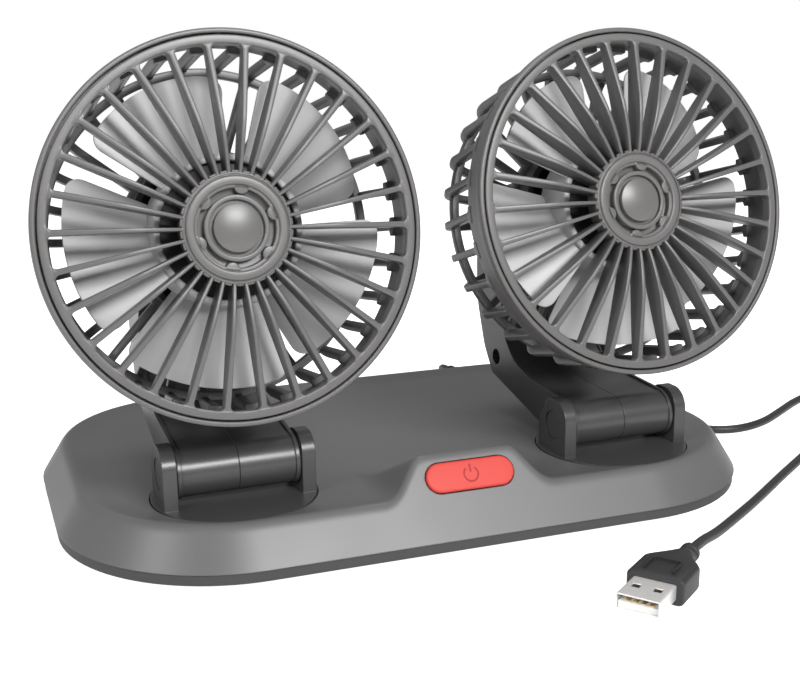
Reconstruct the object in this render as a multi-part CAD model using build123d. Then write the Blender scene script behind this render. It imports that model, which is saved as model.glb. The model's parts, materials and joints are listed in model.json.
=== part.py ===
"""Dual personal fan: two tilting, swivelling fan heads on one low tray-shaped base.

Millimetres, +Z up, X along the base, -Y to the front. The origin is the centre of the
underside of the rubber pad that the fan stands on.
"""
import os
from math import asin, cos, hypot, pi, radians, sin, sqrt, tan

from build123d import *

os.makedirs("parts", exist_ok=True)

# Shared clearances
overrun = 2.0             # how far a cutter runs past the face it cuts
running_gap = 0.06        # radial play of a shaft in its bore
side_gap = 0.3            # play beside a part that turns or slides
slip_gap = 0.1            # play under a part that turns flat on another
seat_gap = 0.15           # play around a part that is let into a pocket
fit_gap = 0.01            # play of a part that is pressed onto another
weld = 0.4                # how far moulded features of one piece run into each other

# Base: a rounded tray with sloping walls
base_length = 229.0
base_depth = 150.4
base_corner = 52.5
skirt_z = 3.8             # height where the wall starts, above the base cover
wall_lean = 31.9          # lean of the wall from the vertical, degrees
ridge_z = 15.8            # height of the unrounded ridge
ridge_round = 3.0
ridge_inner_inset = 15.5  # where the inside of the ridge meets the tray floor
ridge_inner_round = 6.0
tray_z = 14.6             # top of the tray floor
base_wall = 2.2
floor_overlap = 2.0

# Console: the hump of the front wall that holds the button
console_x = 1.9
console_top_z = 27.4
console_top_half = 14.8
console_foot_half = 25.6
console_foot_z = 14.0
console_wing_half = 34.0
console_wing_drop = 6.0
console_back_y = -42.5
console_back_drop = 0.9   # how far below the top edge its back slope starts
console_top_round = 5.5
console_foot_round = 9.0
console_edge_round = 1.6
console_block_half = 32.0 # half length of the wall's middle stretch, a node of its own
console_block_y = -37.0   # and where it ends, on the tray

# Button, its switch and the board behind it
button_length = 28.2
button_width = 9.0
button_z = 19.9
button_proud = 0.9
button_edge_round = 0.7
button_flange = 0.6       # width of the flange that keeps the button in
button_flange_thickness = 1.0
button_travel = 1.0
button_stem = 2.0         # radius of the stem that works the switch
button_stem_reach = 1.3   # how far the stem reaches into the switch at rest
switch_size = 7.5
switch_height = 4.2
switch_bore_depth = 3.0
board_length = 30.0
board_top = 4.5           # board edges above and below the button's centre
board_bottom = 11.5
board_thickness = 1.6
board_depth = 9.0         # behind the outside of the front wall
board_post_radius = 2.4
board_post_x = 11.0
board_post_drop = 8.4
board_screw_radius = 1.0
board_screw_head_radius = 2.0
board_screw_head = 1.2
board_screw_length = 6.0
connector_length = 8.0
connector_width = 4.5
connector_height = 3.5

# Base cover, pad and screws
cover_inset = 0.4
cover_z = 0.6
pad_inset = 6.0
pad_thickness = 1.2
cover_boss_radius = 4.0
cover_boss_front_x = 38.5
cover_boss_front_y = -57.0
cover_boss_rear_x = 86.0
cover_boss_rear_y = 48.0
cover_screw_radius = 1.5
cover_screw_head_radius = 2.9
cover_screw_head = 1.0
cover_screw_length = 8.0

# Turntables
turntable_x = 63.9
turntable_y = -40.6
turntable_radius = 24.7
turntable_top_z = 15.0
turntable_thickness = 3.0
turntable_well_wall = 2.0
axle_radius = 8.0
axle_bore = 4.4
turntable_skin = 1.4      # left over the axle's bore
retainer_radius = 12.0
retainer_thickness = 1.8
retainer_screw_ring = 6.2
retainer_screw_count = 3
retainer_screw_radius = 0.8
retainer_screw_head_radius = 1.6
retainer_screw_head = 0.9
retainer_screw_length = 5.4

# Hinge: two ears on the turntable, a barrel on the arm between them
ear_inner = 18.6
ear_outer = 22.7
ear_front = -9.3
ear_back = 8.2
ear_top_back = 2.4        # where the ear's top starts to fall towards its back
ear_back_height = 8.5
ear_height = 17.6
ear_front_round = 6.5
ear_back_round = 4.0
hinge_y = -0.9
hinge_z = 8.9
barrel_radius = 7.95
pin_radius = 2.2
ear_cap_radius = 4.6
ear_cap_thickness = 1.4
ear_cap_recess = 0.25
washer_radius = 6.6
washer_thickness = 0.3

# Arm: two hollow halves screwed together, drawn at the elevation design_elevation.
# Its outline gives places from the hinge, to the back and up, each with its rounding.
design_elevation = 14.7
arm_half_width = 18.2
arm_underside = 13.5      # slope of the underside behind the barrel, degrees
arm_heel = (52.8, 3.0)    # distance of the heel from the hinge, and its rounding
arm_back = ((59.5, 13.2, 20.0), (66.0, 30.0, 30.0), (66.5, 50.0, 20.0), (49.0, 71.8, 14.0))
arm_inside = ((38.0, 45.6, 6.0), (47.0, 34.0, 10.0), (44.6, 20.0, 16.0), (35.5, 12.0, 14.0),
              (24.0, 8.9, 30.0))
arm_wall = 2.0
arm_seam = 0.16
arm_plate = 1.2           # thickness of the side plates
arm_plate_proud = 0.5     # how far the side plates stand proud of the arm's body
arm_screw_low = (49.7, 10.9)
arm_screw_high = (57.0, 44.0)
arm_boss_radius = 4.4
arm_screw_well_radius = 2.85
arm_screw_well = 5.0
arm_screw_radius = 1.4
arm_screw_head_radius = 2.5
arm_screw_head = 1.8
arm_screw_length = 20.0
arm_knuckle_wall = 2.6
arm_neck_half = 14.0      # half height of the end that holds the head

# Head, in its own frame: +Z forward along the axis, origin in the plane of the ring
arm_reach = 73.6          # hinge to the ring's centre
arm_lead = 22.55          # degrees that the ring leads the arm
left_turn = 1.4           # degrees
right_turn = 1.7
left_elevation = 11.1
right_elevation = 14.7
ring_radius = 54.0
rim_width = 1.4
rim_depth = 3.4
rim_round = 0.6
groove_width = 0.5
grille_ring_width = 2.4
grille_ring_depth = 2.6
band_radius = 52.0
band_wall = 1.8
band_end = 9.3            # depth behind the ring's front where the rear slots begin
cage_depth = 39.5
cage_radius = 51.6        # outside of the ribs at the rear corner
cage_corner = 8.8
rib_count = 30
rib_thickness = 2.1
rib_height = 3.3
rib_lean = 7.5            # degrees that the ribs lean round the axis
tie_radius = 49.0
tie_size = 2.2
tie_depth = 10.4
rear_disc_radius = 26.0
neck_radius = 9.4         # of the motor housing's neck, which the arm holds
neck_bore = 3.8
neck_length = 15.5
neck_flange_radius = 11.4
neck_flange = 3.0
neck_gap = 0.8            # between the rear of the cage and the arm's front face

# Front grille
spoke_count = 30
left_spoke_start = -98.0  # degrees from +X
right_spoke_start = -96.0
spoke_hub_width = 0.95
spoke_ring_width = 1.75
spoke_crest = 2.8         # how far the spokes stand ahead of the ring
spoke_crest_share = 0.56  # where they do, as a share of the ring's radius
spoke_mid_rise = 1.5      # how far ahead they are halfway from there to the ring
spoke_hub_rise = 1.2
spoke_ring_depth = 3.5
spoke_hub_depth = 4.8
slot_round = 1.2
grille_hub_radius = 15.2
grille_hub_wall = 1.8
grille_hub_floor = 1.8
bezel_flange_radius = 15.7
bezel_flange = 0.9
bezel_notch_width = 1.35
bezel_notch = 0.9
bezel_radius = 14.2
bezel_lip_radius = 11.8
bezel_proud = 1.5
bezel_round = 0.5
bezel_floor = 1.6         # thickness of the bezel's floor
bezel_recess = 2.9
lug_count = 6
lug_radius = 2.1
lug_ring = 11.4
lug_drop = 0.7            # how far the lugs and their ledge lie below the bezel's lip
ledge_radius = 10.9       # inside of the ledge that carries the lugs
lug_start = 19.0
cap_radius = 9.1
cap_groove_radius = 7.7
cap_dome_radius = 6.6
cap_proud = 0.9
cap_groove = 1.2
cap_dome = 1.2
cap_dome_edge = 0.3
cap_stem_radius = 3.6

# Rotor and motor
blade_count = 5
left_blade_start = 42.0
right_blade_start = 51.0
blade_tip_radius = 44.3
blade_span = 62.0         # degrees that one blade covers
blade_thickness = 1.3
blade_camber = 2.4
blade_front_depth = 9.5
blade_back_depth = 23.5
blade_corner = 4.5
hub_radius = 21.3
hub_wall = 2.0
hub_front_depth = 8.3
hub_back_depth = 24.4
bell_wall = 1.5
bell_front_depth = 10.6
bell_boss_radius = 3.2
bell_boss = 1.8
magnet_wall = 2.0
magnet_front_depth = 13.2
magnet_back_depth = 24.0
air_gap = 0.5
shaft_radius = 1.5
shaft_front_depth = 9.8
shaft_back_depth = 34.2
stator_slots = 6
stator_slot_width = 4.4
stator_slot = 6.0
stator_front_depth = 14.2
stator_back_depth = 22.8
bearing_tube_radius = 6.0
bearing_tube_front_depth = 14.4
bearing_radius = 4.2
bearing_length = 3.2
motor_board_radius = 16.0
motor_board_thickness = 1.4
motor_board_depth = 27.2
motor_cup_radius = 24.6
motor_cup_wall = 1.8
motor_cup_front_depth = 27.6
motor_cup_screw_ring = 15.0
motor_cup_screw_count = 3
motor_cup_screw_radius = 1.1
motor_cup_screw_head_radius = 2.1
motor_cup_screw_head = 1.2
motor_cup_screw_length = 4.4
motor_cup_boss = 3.4
wire_way_x = 8.5          # where the motor's wires come down into the neck
motor_cup_boss_radius = 2.6

# Supply lead
lead_diameter = 3.0
lead_lift = 0.1           # the lead lies this far above the surface
gland_x = 60.0
gland_z = 8.1
gland_collar_radius = 4.1
gland_collar = 2.0
gland_neck_radius = 3.6
gland_tail_radius = 3.3
gland_tip_radius = 2.5
gland_length = 12.6
gland_rib_count = 4
gland_rib_gap = 1.3
gland_rib_step = 2.5
gland_rib_cut = 0.7
gland_inner_length = 4.0
coil_x = 181.0
coil_y = -44.0
coil_heading = 217.5      # degrees from +X in which the lead enters and leaves the coil
coil_outer_radius = 23.0
coil_pitch = 3.5
coil_half_turns = 7       # in the lower layer, before the lead climbs
lead_in = 24.0            # straight run of the lead into the coil
bend_share = 0.45         # share of its shorter run that a bend of the lead may take
coil_samples = 720        # places on the coil where its gap to itself is measured

# Plug
plug_heading = 37.0       # degrees from +X in which the lead leaves the plug
plug_x = 19.9
plug_y = -130.7
shell_width = 12.0
shell_height = 4.5
shell_wall = 0.35
shell_length = 18.6
shell_free = 12.0         # length of the shell that stands out of the body
shell_round = 0.6
shell_window = 2.3
shell_window_offset = 3.0
shell_window_from_tip = 6.6
plug_body_width = 16.2
plug_body_height = 7.6
plug_body_straight = 12.5
plug_shoulder = 9.5
plug_corner = 1.6
plug_neck_width = 6.4
plug_neck_height = 5.6
plug_relief = 7.0
plug_relief_radius = 2.9
plug_relief_core = 2.1
plug_relief_ribs = 2
insert_thickness = 1.9
insert_width = 11.0
insert_tip_gap = 0.6
contact_width = 1.2
contact_thickness = 0.2
contact_length = 7.0
contact_pitch = 2.2
contact_count = 4

up_from_bottom = (Align.CENTER, Align.CENTER, Align.MIN)


def save(shape, node):
    """Write one node, named as it is in the assembly."""
    solids = shape.solids()
    shape = Compound(solids) if len(solids) > 1 else solids[0]
    shape.label = node
    export_step(shape, f"parts/{node}.step")


def cylinder(radius, low, high, x=0.0, y=0.0):
    """An upright cylinder between two heights."""
    return Pos(x, y, low) * Cylinder(radius, high - low, align=up_from_bottom)


def tube(outer, inner, low, high):
    """An upright tube between two heights."""
    return cylinder(outer, low, high) - cylinder(inner, low - overrun, high + overrun)


def around(shape, count, start=0.0):
    """Copies of a shape around the Z axis."""
    return [Rot(0, 0, start + 360 / count * k) * shape for k in range(count)]


def screw(shank_radius, head_radius, head, length):
    """A pan-head screw, its head's underside at the origin and its shank down -Z."""
    body = cylinder(shank_radius, -length, 0) + cylinder(head_radius, 0, head)
    cross = Box(head_radius, head_radius / 4, head) + Box(head_radius / 4, head_radius, head)
    return body - Pos(0, 0, head) * cross


def turned(points):
    """A solid turned about Z from a profile of radius and height."""
    return revolve(Plane.XZ * make_face(Polyline(*points, close=True)), Axis.Z)


def rounded_outline(corners):
    """A face through corner places, each given with its rounding."""
    face = make_face(Polyline(*[(x, y) for x, y, _ in corners], close=True))
    for x, y, radius in corners:
        if radius > 0:
            corner = face.vertices().sort_by_distance((x, y, 0))[0]
            face = fillet(corner, radius)
    return face


def base_outline(inset=0.0):
    """The base's outline, moved inwards."""
    return RectangleRounded(base_length - 2 * inset, base_depth - 2 * inset, base_corner - inset)


def plate(inset, low, high):
    """A flat plate of the base's outline between two heights."""
    return Pos(0, 0, low) * extrude(base_outline(inset), high - low)


# The wall's plane: the button and its board stand square to it
wall_run = tan(radians(wall_lean))
wall_cos = cos(radians(wall_lean))
wall_sin = sin(radians(wall_lean))
tray_under_z = tray_z - base_wall
well_floor_z = turntable_top_z - turntable_thickness - slip_gap
well_bottom_z = well_floor_z - turntable_well_wall


def wall_inset(z):
    """How far the outside of the wall has moved inwards at a height."""
    return (z - skirt_z) * wall_run


button_plane = Plane(
    origin=(console_x, -base_depth / 2 + wall_inset(button_z), button_z),
    x_dir=(1, 0, 0),
    z_dir=(0, -wall_cos, wall_sin),
)


def up_wall(z):
    """Distance from the button's centre up the wall to a height."""
    return (z - button_z) / wall_cos


# Base pieces
def tray_wall():
    """The wall and ridge: one profile carried round the base's outline."""
    ridge_inset = wall_inset(ridge_z)
    skin = base_wall / wall_cos
    inner_edge = ridge_inner_inset + ridge_inner_round + floor_overlap
    profile = rounded_outline((
        (0, skirt_z, 0),
        (ridge_inset, ridge_z, ridge_round),
        (ridge_inner_inset, tray_z, ridge_inner_round),
        (inner_edge, tray_z, 0),
        (inner_edge, tray_under_z, 0),
        (wall_inset(tray_under_z) + skin, tray_under_z, 0),
        (skin, skirt_z, 0),
    ))
    path = base_outline().wire()
    start = path @ 0
    inward = Vector(0, 0, 1).cross(path % 0)
    if inward.dot(Vector(-start.X, -start.Y, 0)) < 0:
        inward = inward * -1
    section = Plane(origin=start, x_dir=inward, z_dir=inward.cross(Vector(0, 0, 1)))
    return sweep(section * profile, path=path)


def console(inset):
    """The hump in the front wall, or with an inset the hollow inside it."""
    top = up_wall(console_top_z) - inset
    foot = up_wall(console_foot_z)
    low = up_wall(console_foot_z - console_wing_drop)
    wing = console_wing_half
    half_top = console_top_half - inset
    half_foot = console_foot_half - inset
    if inset > 0:
        corners = [(-half_foot, low, 0), (-half_foot, foot, 0), (-half_top, top, console_top_round / 2),
                   (half_top, top, console_top_round / 2), (half_foot, foot, 0), (half_foot, low, 0)]
    else:
        corners = [(-wing, low, 0), (-wing, foot, 0), (-half_foot, foot, console_foot_round),
                   (-half_top, top, console_top_round), (half_top, top, console_top_round),
                   (half_foot, foot, console_foot_round), (wing, foot, 0), (wing, low, 0)]
    front = button_plane.offset(-inset)
    hump = extrude(front * rounded_outline(corners), base_depth / 2, dir=(0, 1, 0))
    if inset == 0:
        edges = [edge for edge in hump.edges()
                 if abs(front.to_local_coords(edge.center()).Z) < seat_gap
                 and front.to_local_coords(edge.center()).Y > foot - seat_gap
                 and abs(front.to_local_coords(edge.center()).X) < console_foot_half + console_foot_round]
        hump = fillet(edges, console_edge_round)
    crest_y = -base_depth / 2 + wall_inset(console_top_z)
    crest_z = console_top_z - console_back_drop - inset
    slope = (crest_z - (tray_z - inset)) / (console_back_y - crest_y)
    reach = base_depth / 4
    side = make_face(Polyline(
        (crest_y - reach, 0),
        (crest_y - reach, crest_z + slope * reach),
        (console_back_y, tray_z - inset),
        (console_back_y, 0),
        close=True,
    ))
    across = Plane(origin=(-base_length / 2, 0, 0), x_dir=(0, 1, 0), z_dir=(1, 0, 0))
    return hump & extrude(across * side, base_length)


def stadium(length, width, low, high):
    """A round-ended bar square to the front wall, between two depths outside it."""
    return button_plane.offset(low) * extrude(SlotOverall(length, width), high - low)


def both_sides(x, y):
    """A place and its mirror image across the base's middle."""
    return ((x, y), (-x, y))


cover_boss_places = (both_sides(cover_boss_front_x, cover_boss_front_y)
                     + both_sides(cover_boss_rear_x, cover_boss_rear_y))
board_posts = both_sides(board_post_x, -board_post_drop)


def gland_hole(play):
    """The bore for the supply lead's gland through the rear wall."""
    y = base_depth / 2
    run = Cylinder(gland_neck_radius + play, base_corner)
    return Pos(gland_x, y, gland_z) * Rot(90, 0, 0) * run


def housing():
    """The whole moulding of the base, with the console in its front wall."""
    floor = plate(ridge_inner_inset + ridge_inner_round, tray_under_z, tray_z)
    shell = tray_wall() + floor + console(0)
    for side in (-1, 1):
        x = side * turntable_x
        wall = turntable_radius + side_gap + turntable_well_wall
        shell += cylinder(wall, well_bottom_z, tray_z, x, turntable_y)
    for x, y in cover_boss_places:
        shell += cylinder(cover_boss_radius, skirt_z, tray_under_z + weld, x, y)
    shell -= console(base_wall)
    room = 2 * (button_flange + side_gap)
    pocket = base_wall + slip_gap + button_flange_thickness + button_travel + side_gap
    shell -= stadium(button_length + room, button_width + room, -pocket, -base_wall)
    posts = [button_plane * Pos(x, y, 0) * cylinder(board_post_radius, -board_depth, -base_wall + weld)
             for x, y in board_posts]
    for post in posts:
        shell += post
    for side in (-1, 1):
        x = side * turntable_x
        shell -= cylinder(turntable_radius + side_gap, well_floor_z, tray_z + ridge_round, x, turntable_y)
        shell -= cylinder(axle_radius + running_gap, 0, tray_z, x, turntable_y)
    for x, y in cover_boss_places:
        shell -= cylinder(cover_screw_radius, 0, skirt_z + cover_screw_length, x, y)
    for x, y in board_posts:
        shell -= button_plane * Pos(x, y, 0) * cylinder(
            board_screw_radius, -board_depth - overrun, -board_depth - board_thickness + board_screw_length)
    shell -= stadium(button_length + 2 * side_gap, button_width + 2 * side_gap, -base_wall - overrun, overrun)
    shell -= gland_hole(seat_gap)
    return shell


def middle_stretch():
    """The space of the front wall's middle stretch, which carries the console."""
    depth = console_block_y + base_depth / 2
    block = Box(2 * console_block_half, 2 * depth, 2 * (console_top_z + overrun))
    return Pos(console_x, -base_depth / 2, 0) * block


def base_cover():
    cover = plate(cover_inset, cover_z, skirt_z)
    cover -= plate(pad_inset - seat_gap, 0, pad_thickness)
    for x, y in cover_boss_places:
        cover -= cylinder(cover_screw_radius + seat_gap, 0, base_depth, x, y)
    return cover


def base_pad():
    pad = plate(pad_inset, 0, pad_thickness)
    for x, y in cover_boss_places:
        pad -= cylinder(cover_screw_head_radius + side_gap, -overrun, pad_thickness + overrun, x, y)
    return pad


def cover_screws():
    one = screw(cover_screw_radius, cover_screw_head_radius, cover_screw_head, cover_screw_length)
    return Compound([Pos(x, y, pad_thickness) * Rot(180, 0, 0) * one for x, y in cover_boss_places])


def power_button():
    flange = button_flange
    low = -base_wall - slip_gap - button_flange_thickness
    face = stadium(button_length, button_width, low, button_proud)
    outer = face.faces().sort_by_distance(button_plane.origin + button_plane.z_dir * button_proud)[0]
    face = fillet(outer.edges(), button_edge_round)
    body = face + stadium(button_length + 2 * flange, button_width + 2 * flange, low,
                          low + button_flange_thickness)
    stem_end = -board_depth + switch_height - button_stem_reach
    return body + button_plane * cylinder(button_stem, stem_end, low + weld)


def push_switch():
    case = Box(switch_size, switch_size, switch_height, align=up_from_bottom)
    bore = cylinder(button_stem + seat_gap, switch_height - switch_bore_depth, switch_height + overrun)
    return button_plane.offset(-board_depth) * (case - bore)


def control_board():
    width = board_top + board_bottom
    middle = (board_top - board_bottom) / 2
    board = Pos(0, middle, -board_thickness) * Box(board_length, width, board_thickness, align=up_from_bottom)
    plug = Box(connector_length, connector_width, connector_height, align=up_from_bottom)
    board += Pos(0, -board_bottom + connector_width, 0) * plug
    for x, y in board_posts:
        board -= cylinder(board_screw_radius + seat_gap, -board_thickness - overrun, overrun, x, y)
    return button_plane.offset(-board_depth) * board


def board_screws():
    one = screw(board_screw_radius, board_screw_head_radius, board_screw_head, board_screw_length)
    back = button_plane.offset(-board_depth - board_thickness)
    return Compound([back * Pos(x, y, 0) * Rot(180, 0, 0) * one for x, y in board_posts])


# Turntable and hinge, in the turntable's frame: origin at the centre of its top
def turntable():
    disc = cylinder(turntable_radius, -turntable_thickness, 0)
    disc += cylinder(axle_radius, well_bottom_z - slip_gap - turntable_top_z, -turntable_thickness + weld)
    ear = rounded_outline((
        (ear_front, -turntable_thickness / 2, 0),
        (ear_front, ear_height, ear_front_round),
        (ear_top_back, ear_height, ear_back_round),
        (ear_back, ear_back_height, ear_back_round),
        (ear_back, -turntable_thickness / 2, 0),
    ))
    for side in (-1, 1):
        inner = Plane(origin=(side * ear_inner, 0, 0), x_dir=(0, 1, 0), z_dir=(1, 0, 0))
        disc += extrude(inner * ear, side * (ear_outer - ear_inner))
    across = Pos(0, hinge_y, hinge_z) * Rot(0, 90, 0)
    disc -= across * Cylinder(pin_radius + fit_gap, 2 * ear_outer + overrun)
    pocket = ear_cap_thickness + ear_cap_recess
    for side in (-1, 1):
        disc -= across * Pos(0, 0, side * ear_outer) * Cylinder(ear_cap_radius + seat_gap, 2 * pocket)
    disc -= cylinder(axle_bore, -turntable_top_z, -turntable_skin)
    hole_depth = retainer_screw_length - retainer_thickness
    low = well_bottom_z - slip_gap - turntable_top_z
    hole = cylinder(retainer_screw_radius, low - overrun, low + hole_depth, retainer_screw_ring)
    for cut in around(hole, retainer_screw_count, 90):
        disc -= cut
    return disc


def retainer():
    top = well_bottom_z - slip_gap - turntable_top_z
    ring = tube(retainer_radius, axle_bore, top - retainer_thickness, top)
    hole = cylinder(retainer_screw_radius + seat_gap, top - 2 * retainer_thickness, top + overrun,
                    retainer_screw_ring)
    for cut in around(hole, retainer_screw_count, 90):
        ring -= cut
    return ring


def retainer_screws():
    top = well_bottom_z - slip_gap - turntable_top_z - retainer_thickness
    one = screw(retainer_screw_radius, retainer_screw_head_radius, retainer_screw_head, retainer_screw_length)
    placed = Pos(retainer_screw_ring, 0, top) * Rot(180, 0, 0) * one
    return Compound(around(placed, retainer_screw_count, 90))


def hinge_pin():
    length = 2 * (ear_outer - ear_cap_thickness - ear_cap_recess)
    return Pos(0, hinge_y, hinge_z) * Rot(0, 90, 0) * Cylinder(pin_radius, length)


def ear_caps():
    across = Pos(0, hinge_y, hinge_z) * Rot(0, 90, 0)
    offset_out = ear_outer - ear_cap_recess - ear_cap_thickness / 2
    return Compound([across * Pos(0, 0, side * offset_out) * Cylinder(ear_cap_radius, ear_cap_thickness)
                     for side in (-1, 1)])


def hinge_washers():
    across = Pos(0, hinge_y, hinge_z) * Rot(0, 90, 0)
    one = tube(washer_radius, pin_radius + seat_gap, 0, washer_thickness)
    seat = ear_inner - washer_thickness
    return Compound([across * Pos(0, 0, seat) * one, across * Pos(0, 0, -ear_inner) * one])


# Arm, in the hinge's frame: origin on the hinge's axis, at the design elevation
ring_angle = radians(arm_lead - design_elevation)
head_plane = Plane(
    origin=(0, -arm_reach * sin(ring_angle), arm_reach * cos(ring_angle)),
    x_dir=(1, 0, 0),
    z_dir=(0, -cos(radians(design_elevation)), sin(radians(design_elevation))),
)
arm_front_depth = cage_depth + neck_gap


def in_arm(height, depth):
    """A place of the head's middle plane, as distances back and up from the hinge."""
    place = head_plane.from_local_coords(Vector(0, height, -depth))
    return place.Y, place.Z


def arm_face(inset):
    """The arm's side view with the barrel round the hinge."""
    slope = radians(arm_underside)
    heel_run, heel_round = arm_heel
    touch = (barrel_radius * sin(slope), -barrel_radius * cos(slope))
    heel = (heel_run, touch[1] + (heel_run - touch[0]) * tan(slope))
    corners = [(0, barrel_radius, 0), (0, 0, 0), (*touch, 0), (*heel, heel_round)]
    corners += list(arm_back)
    corners += [(*in_arm(arm_neck_half, arm_front_depth), arm_wall),
                (*in_arm(-arm_neck_half, arm_front_depth), arm_wall)]
    corners += list(arm_inside)
    face = rounded_outline(corners) + Circle(barrel_radius)
    return offset(face, amount=-inset) if inset > 0 else face


side_view = Plane(origin=(0, 0, 0), x_dir=(0, 1, 0), z_dir=(1, 0, 0))


def neck_cut(play):
    """What the head's neck takes out of the arm's end."""
    low = -cage_depth - neck_length - play
    neck = cylinder(neck_radius + play, low, -cage_depth)
    flange = cylinder(neck_flange_radius + play, low, low + neck_flange + 2 * play)
    return head_plane * (neck + flange)


def arm_half(side):
    """One half of the arm: side is -1 or 1 along X."""
    inner = arm_seam / 2
    plate_start = arm_half_width - arm_plate
    body = extrude(side_view.offset(inner) * arm_face(arm_plate_proud), plate_start - inner + weld)
    body += extrude(side_view.offset(plate_start) * arm_face(0), arm_plate)
    hollow_face = arm_face(arm_plate_proud + arm_wall) - Circle(pin_radius + running_gap + arm_knuckle_wall)
    for y, z in (arm_screw_low, arm_screw_high):
        hollow_face -= Pos(y, z) * Circle(arm_boss_radius)
    middle = arm_front_depth + (neck_length - neck_gap) / 2
    block_y, block_z = in_arm(0, middle)
    block = Rectangle(neck_length + 2 * arm_wall, 4 * arm_neck_half)
    hollow_face -= Pos(block_y, block_z) * Rot(0, 0, -design_elevation) * block
    body -= extrude(side_view.offset(0) * hollow_face, arm_half_width - arm_wall)
    body -= Rot(0, 90, 0) * Cylinder(pin_radius + running_gap, 4 * arm_half_width)
    body -= neck_cut(seat_gap)
    body -= head_plane * cylinder(neck_bore, -arm_front_depth - 2 * neck_length, -cage_depth)
    for y, z in (arm_screw_low, arm_screw_high):
        across = Pos(0, y, z) * Rot(0, 90, 0)
        if side > 0:
            reach = arm_screw_length - (arm_half_width - arm_screw_well)
            body -= across * cylinder(arm_screw_radius, -overrun, reach)
        else:
            well_floor = arm_half_width - arm_screw_well
            body -= across * cylinder(arm_screw_radius + seat_gap, -overrun, arm_half_width + overrun)
            body -= across * cylinder(arm_screw_well_radius, well_floor, arm_half_width + overrun)
    return body if side > 0 else mirror(body, about=Plane.YZ)


def arm_screws():
    one = screw(arm_screw_radius, arm_screw_head_radius, arm_screw_head, arm_screw_length)
    seat = arm_half_width - arm_screw_well
    return Compound([Pos(-seat, y, z) * Rot(0, -90, 0) * one for y, z in (arm_screw_low, arm_screw_high)])


# Head pieces, in the head's frame
def rear_cage():
    seat = grille_ring_depth + slip_gap
    band_inner = band_radius - band_wall
    rim = turned((
        (ring_radius, 0), (ring_radius, -rim_depth), (band_radius, -rim_depth), (band_radius, -band_end),
        (band_inner, -band_end), (band_inner, -seat), (ring_radius - rim_width, -seat),
        (ring_radius - rim_width, 0),
    ))
    outer_front = rim.edges().filter_by(GeomType.CIRCLE).sort_by(lambda edge: edge.radius)[-2:]
    rim = fillet(outer_front.sort_by(Axis.Z)[-1], rim_round)
    start = -band_end + band_wall
    rib_face = rounded_outline((
        (band_radius - weld / 2, start, 0),
        (cage_radius, -cage_depth, cage_corner),
        (rear_disc_radius - weld, -cage_depth, 0),
        (rear_disc_radius - weld, -cage_depth + rib_height, 0),
        (cage_radius - rib_height, -cage_depth + rib_height, cage_corner - rib_height),
        (band_inner - weld, start, 0),
    ))
    rib = extrude(Plane.XZ * rib_face, rib_thickness / 2, both=True)
    rib = rib.rotate(Axis((band_radius, 0, -band_end), (1, 0, 0)), rib_lean)
    disc = cylinder(rear_disc_radius, -cage_depth, -cage_depth + rib_height)
    tie = tube(tie_radius + tie_size / 2, tie_radius - tie_size / 2, -tie_depth - tie_size / 2,
               -tie_depth + tie_size / 2)
    cage = rim + around(rib, rib_count) + disc + tie
    cage -= cylinder(neck_radius + seat_gap, -cage_depth - overrun, -cage_depth + rib_height + overrun)
    screw_hole = motor_cup_screw_radius + seat_gap
    hole = cylinder(screw_hole, -cage_depth - overrun, rib_height + overrun - cage_depth,
                    motor_cup_screw_ring)
    for cut in around(hole, motor_cup_screw_count, 90):
        cage -= cut
    return cage


def front_grille():
    outer = ring_radius - rim_width - groove_width
    inner = outer - grille_ring_width
    crest = ring_radius * spoke_crest_share
    middle = (crest + inner) / 2
    front = ThreePointArc((inner, 0), (middle, spoke_mid_rise), (crest, spoke_crest))
    hub_middle = (crest + grille_hub_radius) / 2
    hub_point = (hub_middle, (spoke_crest + spoke_hub_rise) / 2 + bezel_round)
    hub_arc = ThreePointArc((crest, spoke_crest), hub_point, (grille_hub_radius, spoke_hub_rise))
    hub_inner = grille_hub_radius - grille_hub_wall
    floor_top = -spoke_hub_depth + grille_hub_floor
    rest = Polyline(
        (grille_hub_radius, spoke_hub_rise), (grille_hub_radius, 0), (hub_inner, 0), (hub_inner, floor_top),
        (cap_stem_radius + seat_gap, floor_top), (cap_stem_radius + seat_gap, -spoke_hub_depth),
        (grille_hub_radius, -spoke_hub_depth), (inner, -spoke_ring_depth), (inner, -grille_ring_depth),
        (outer, -grille_ring_depth), (outer, 0), (inner, 0),
    )
    grille = revolve(Plane.XZ * make_face([*front.edges(), *hub_arc.edges(), *rest.edges()]), Axis.Z)
    half = radians(180 / spoke_count)
    reach = sqrt(inner ** 2 - (spoke_ring_width / 2) ** 2)

    def edge_of_spoke(radius, width):
        x = radius * cos(half) + width / 2 * sin(half)
        y = radius * sin(half) - width / 2 * cos(half)
        return x, y

    root = edge_of_spoke(grille_hub_radius, spoke_hub_width)
    tip = edge_of_spoke(reach, spoke_ring_width)
    sides = Polyline((tip[0], -tip[1]), (root[0], -root[1]), root, tip)
    end = ThreePointArc(tip, (inner, 0), (tip[0], -tip[1]))
    slot = make_face([*sides.edges(), *end.edges()])
    corners = slot.vertices().sort_by(Axis.X)[-2:]
    slot = fillet(corners, slot_round)
    cutter = Pos(0, 0, -2 * spoke_hub_depth) * extrude(slot, 4 * spoke_hub_depth)
    return grille - around(cutter, spoke_count, 180 / spoke_count)


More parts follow.
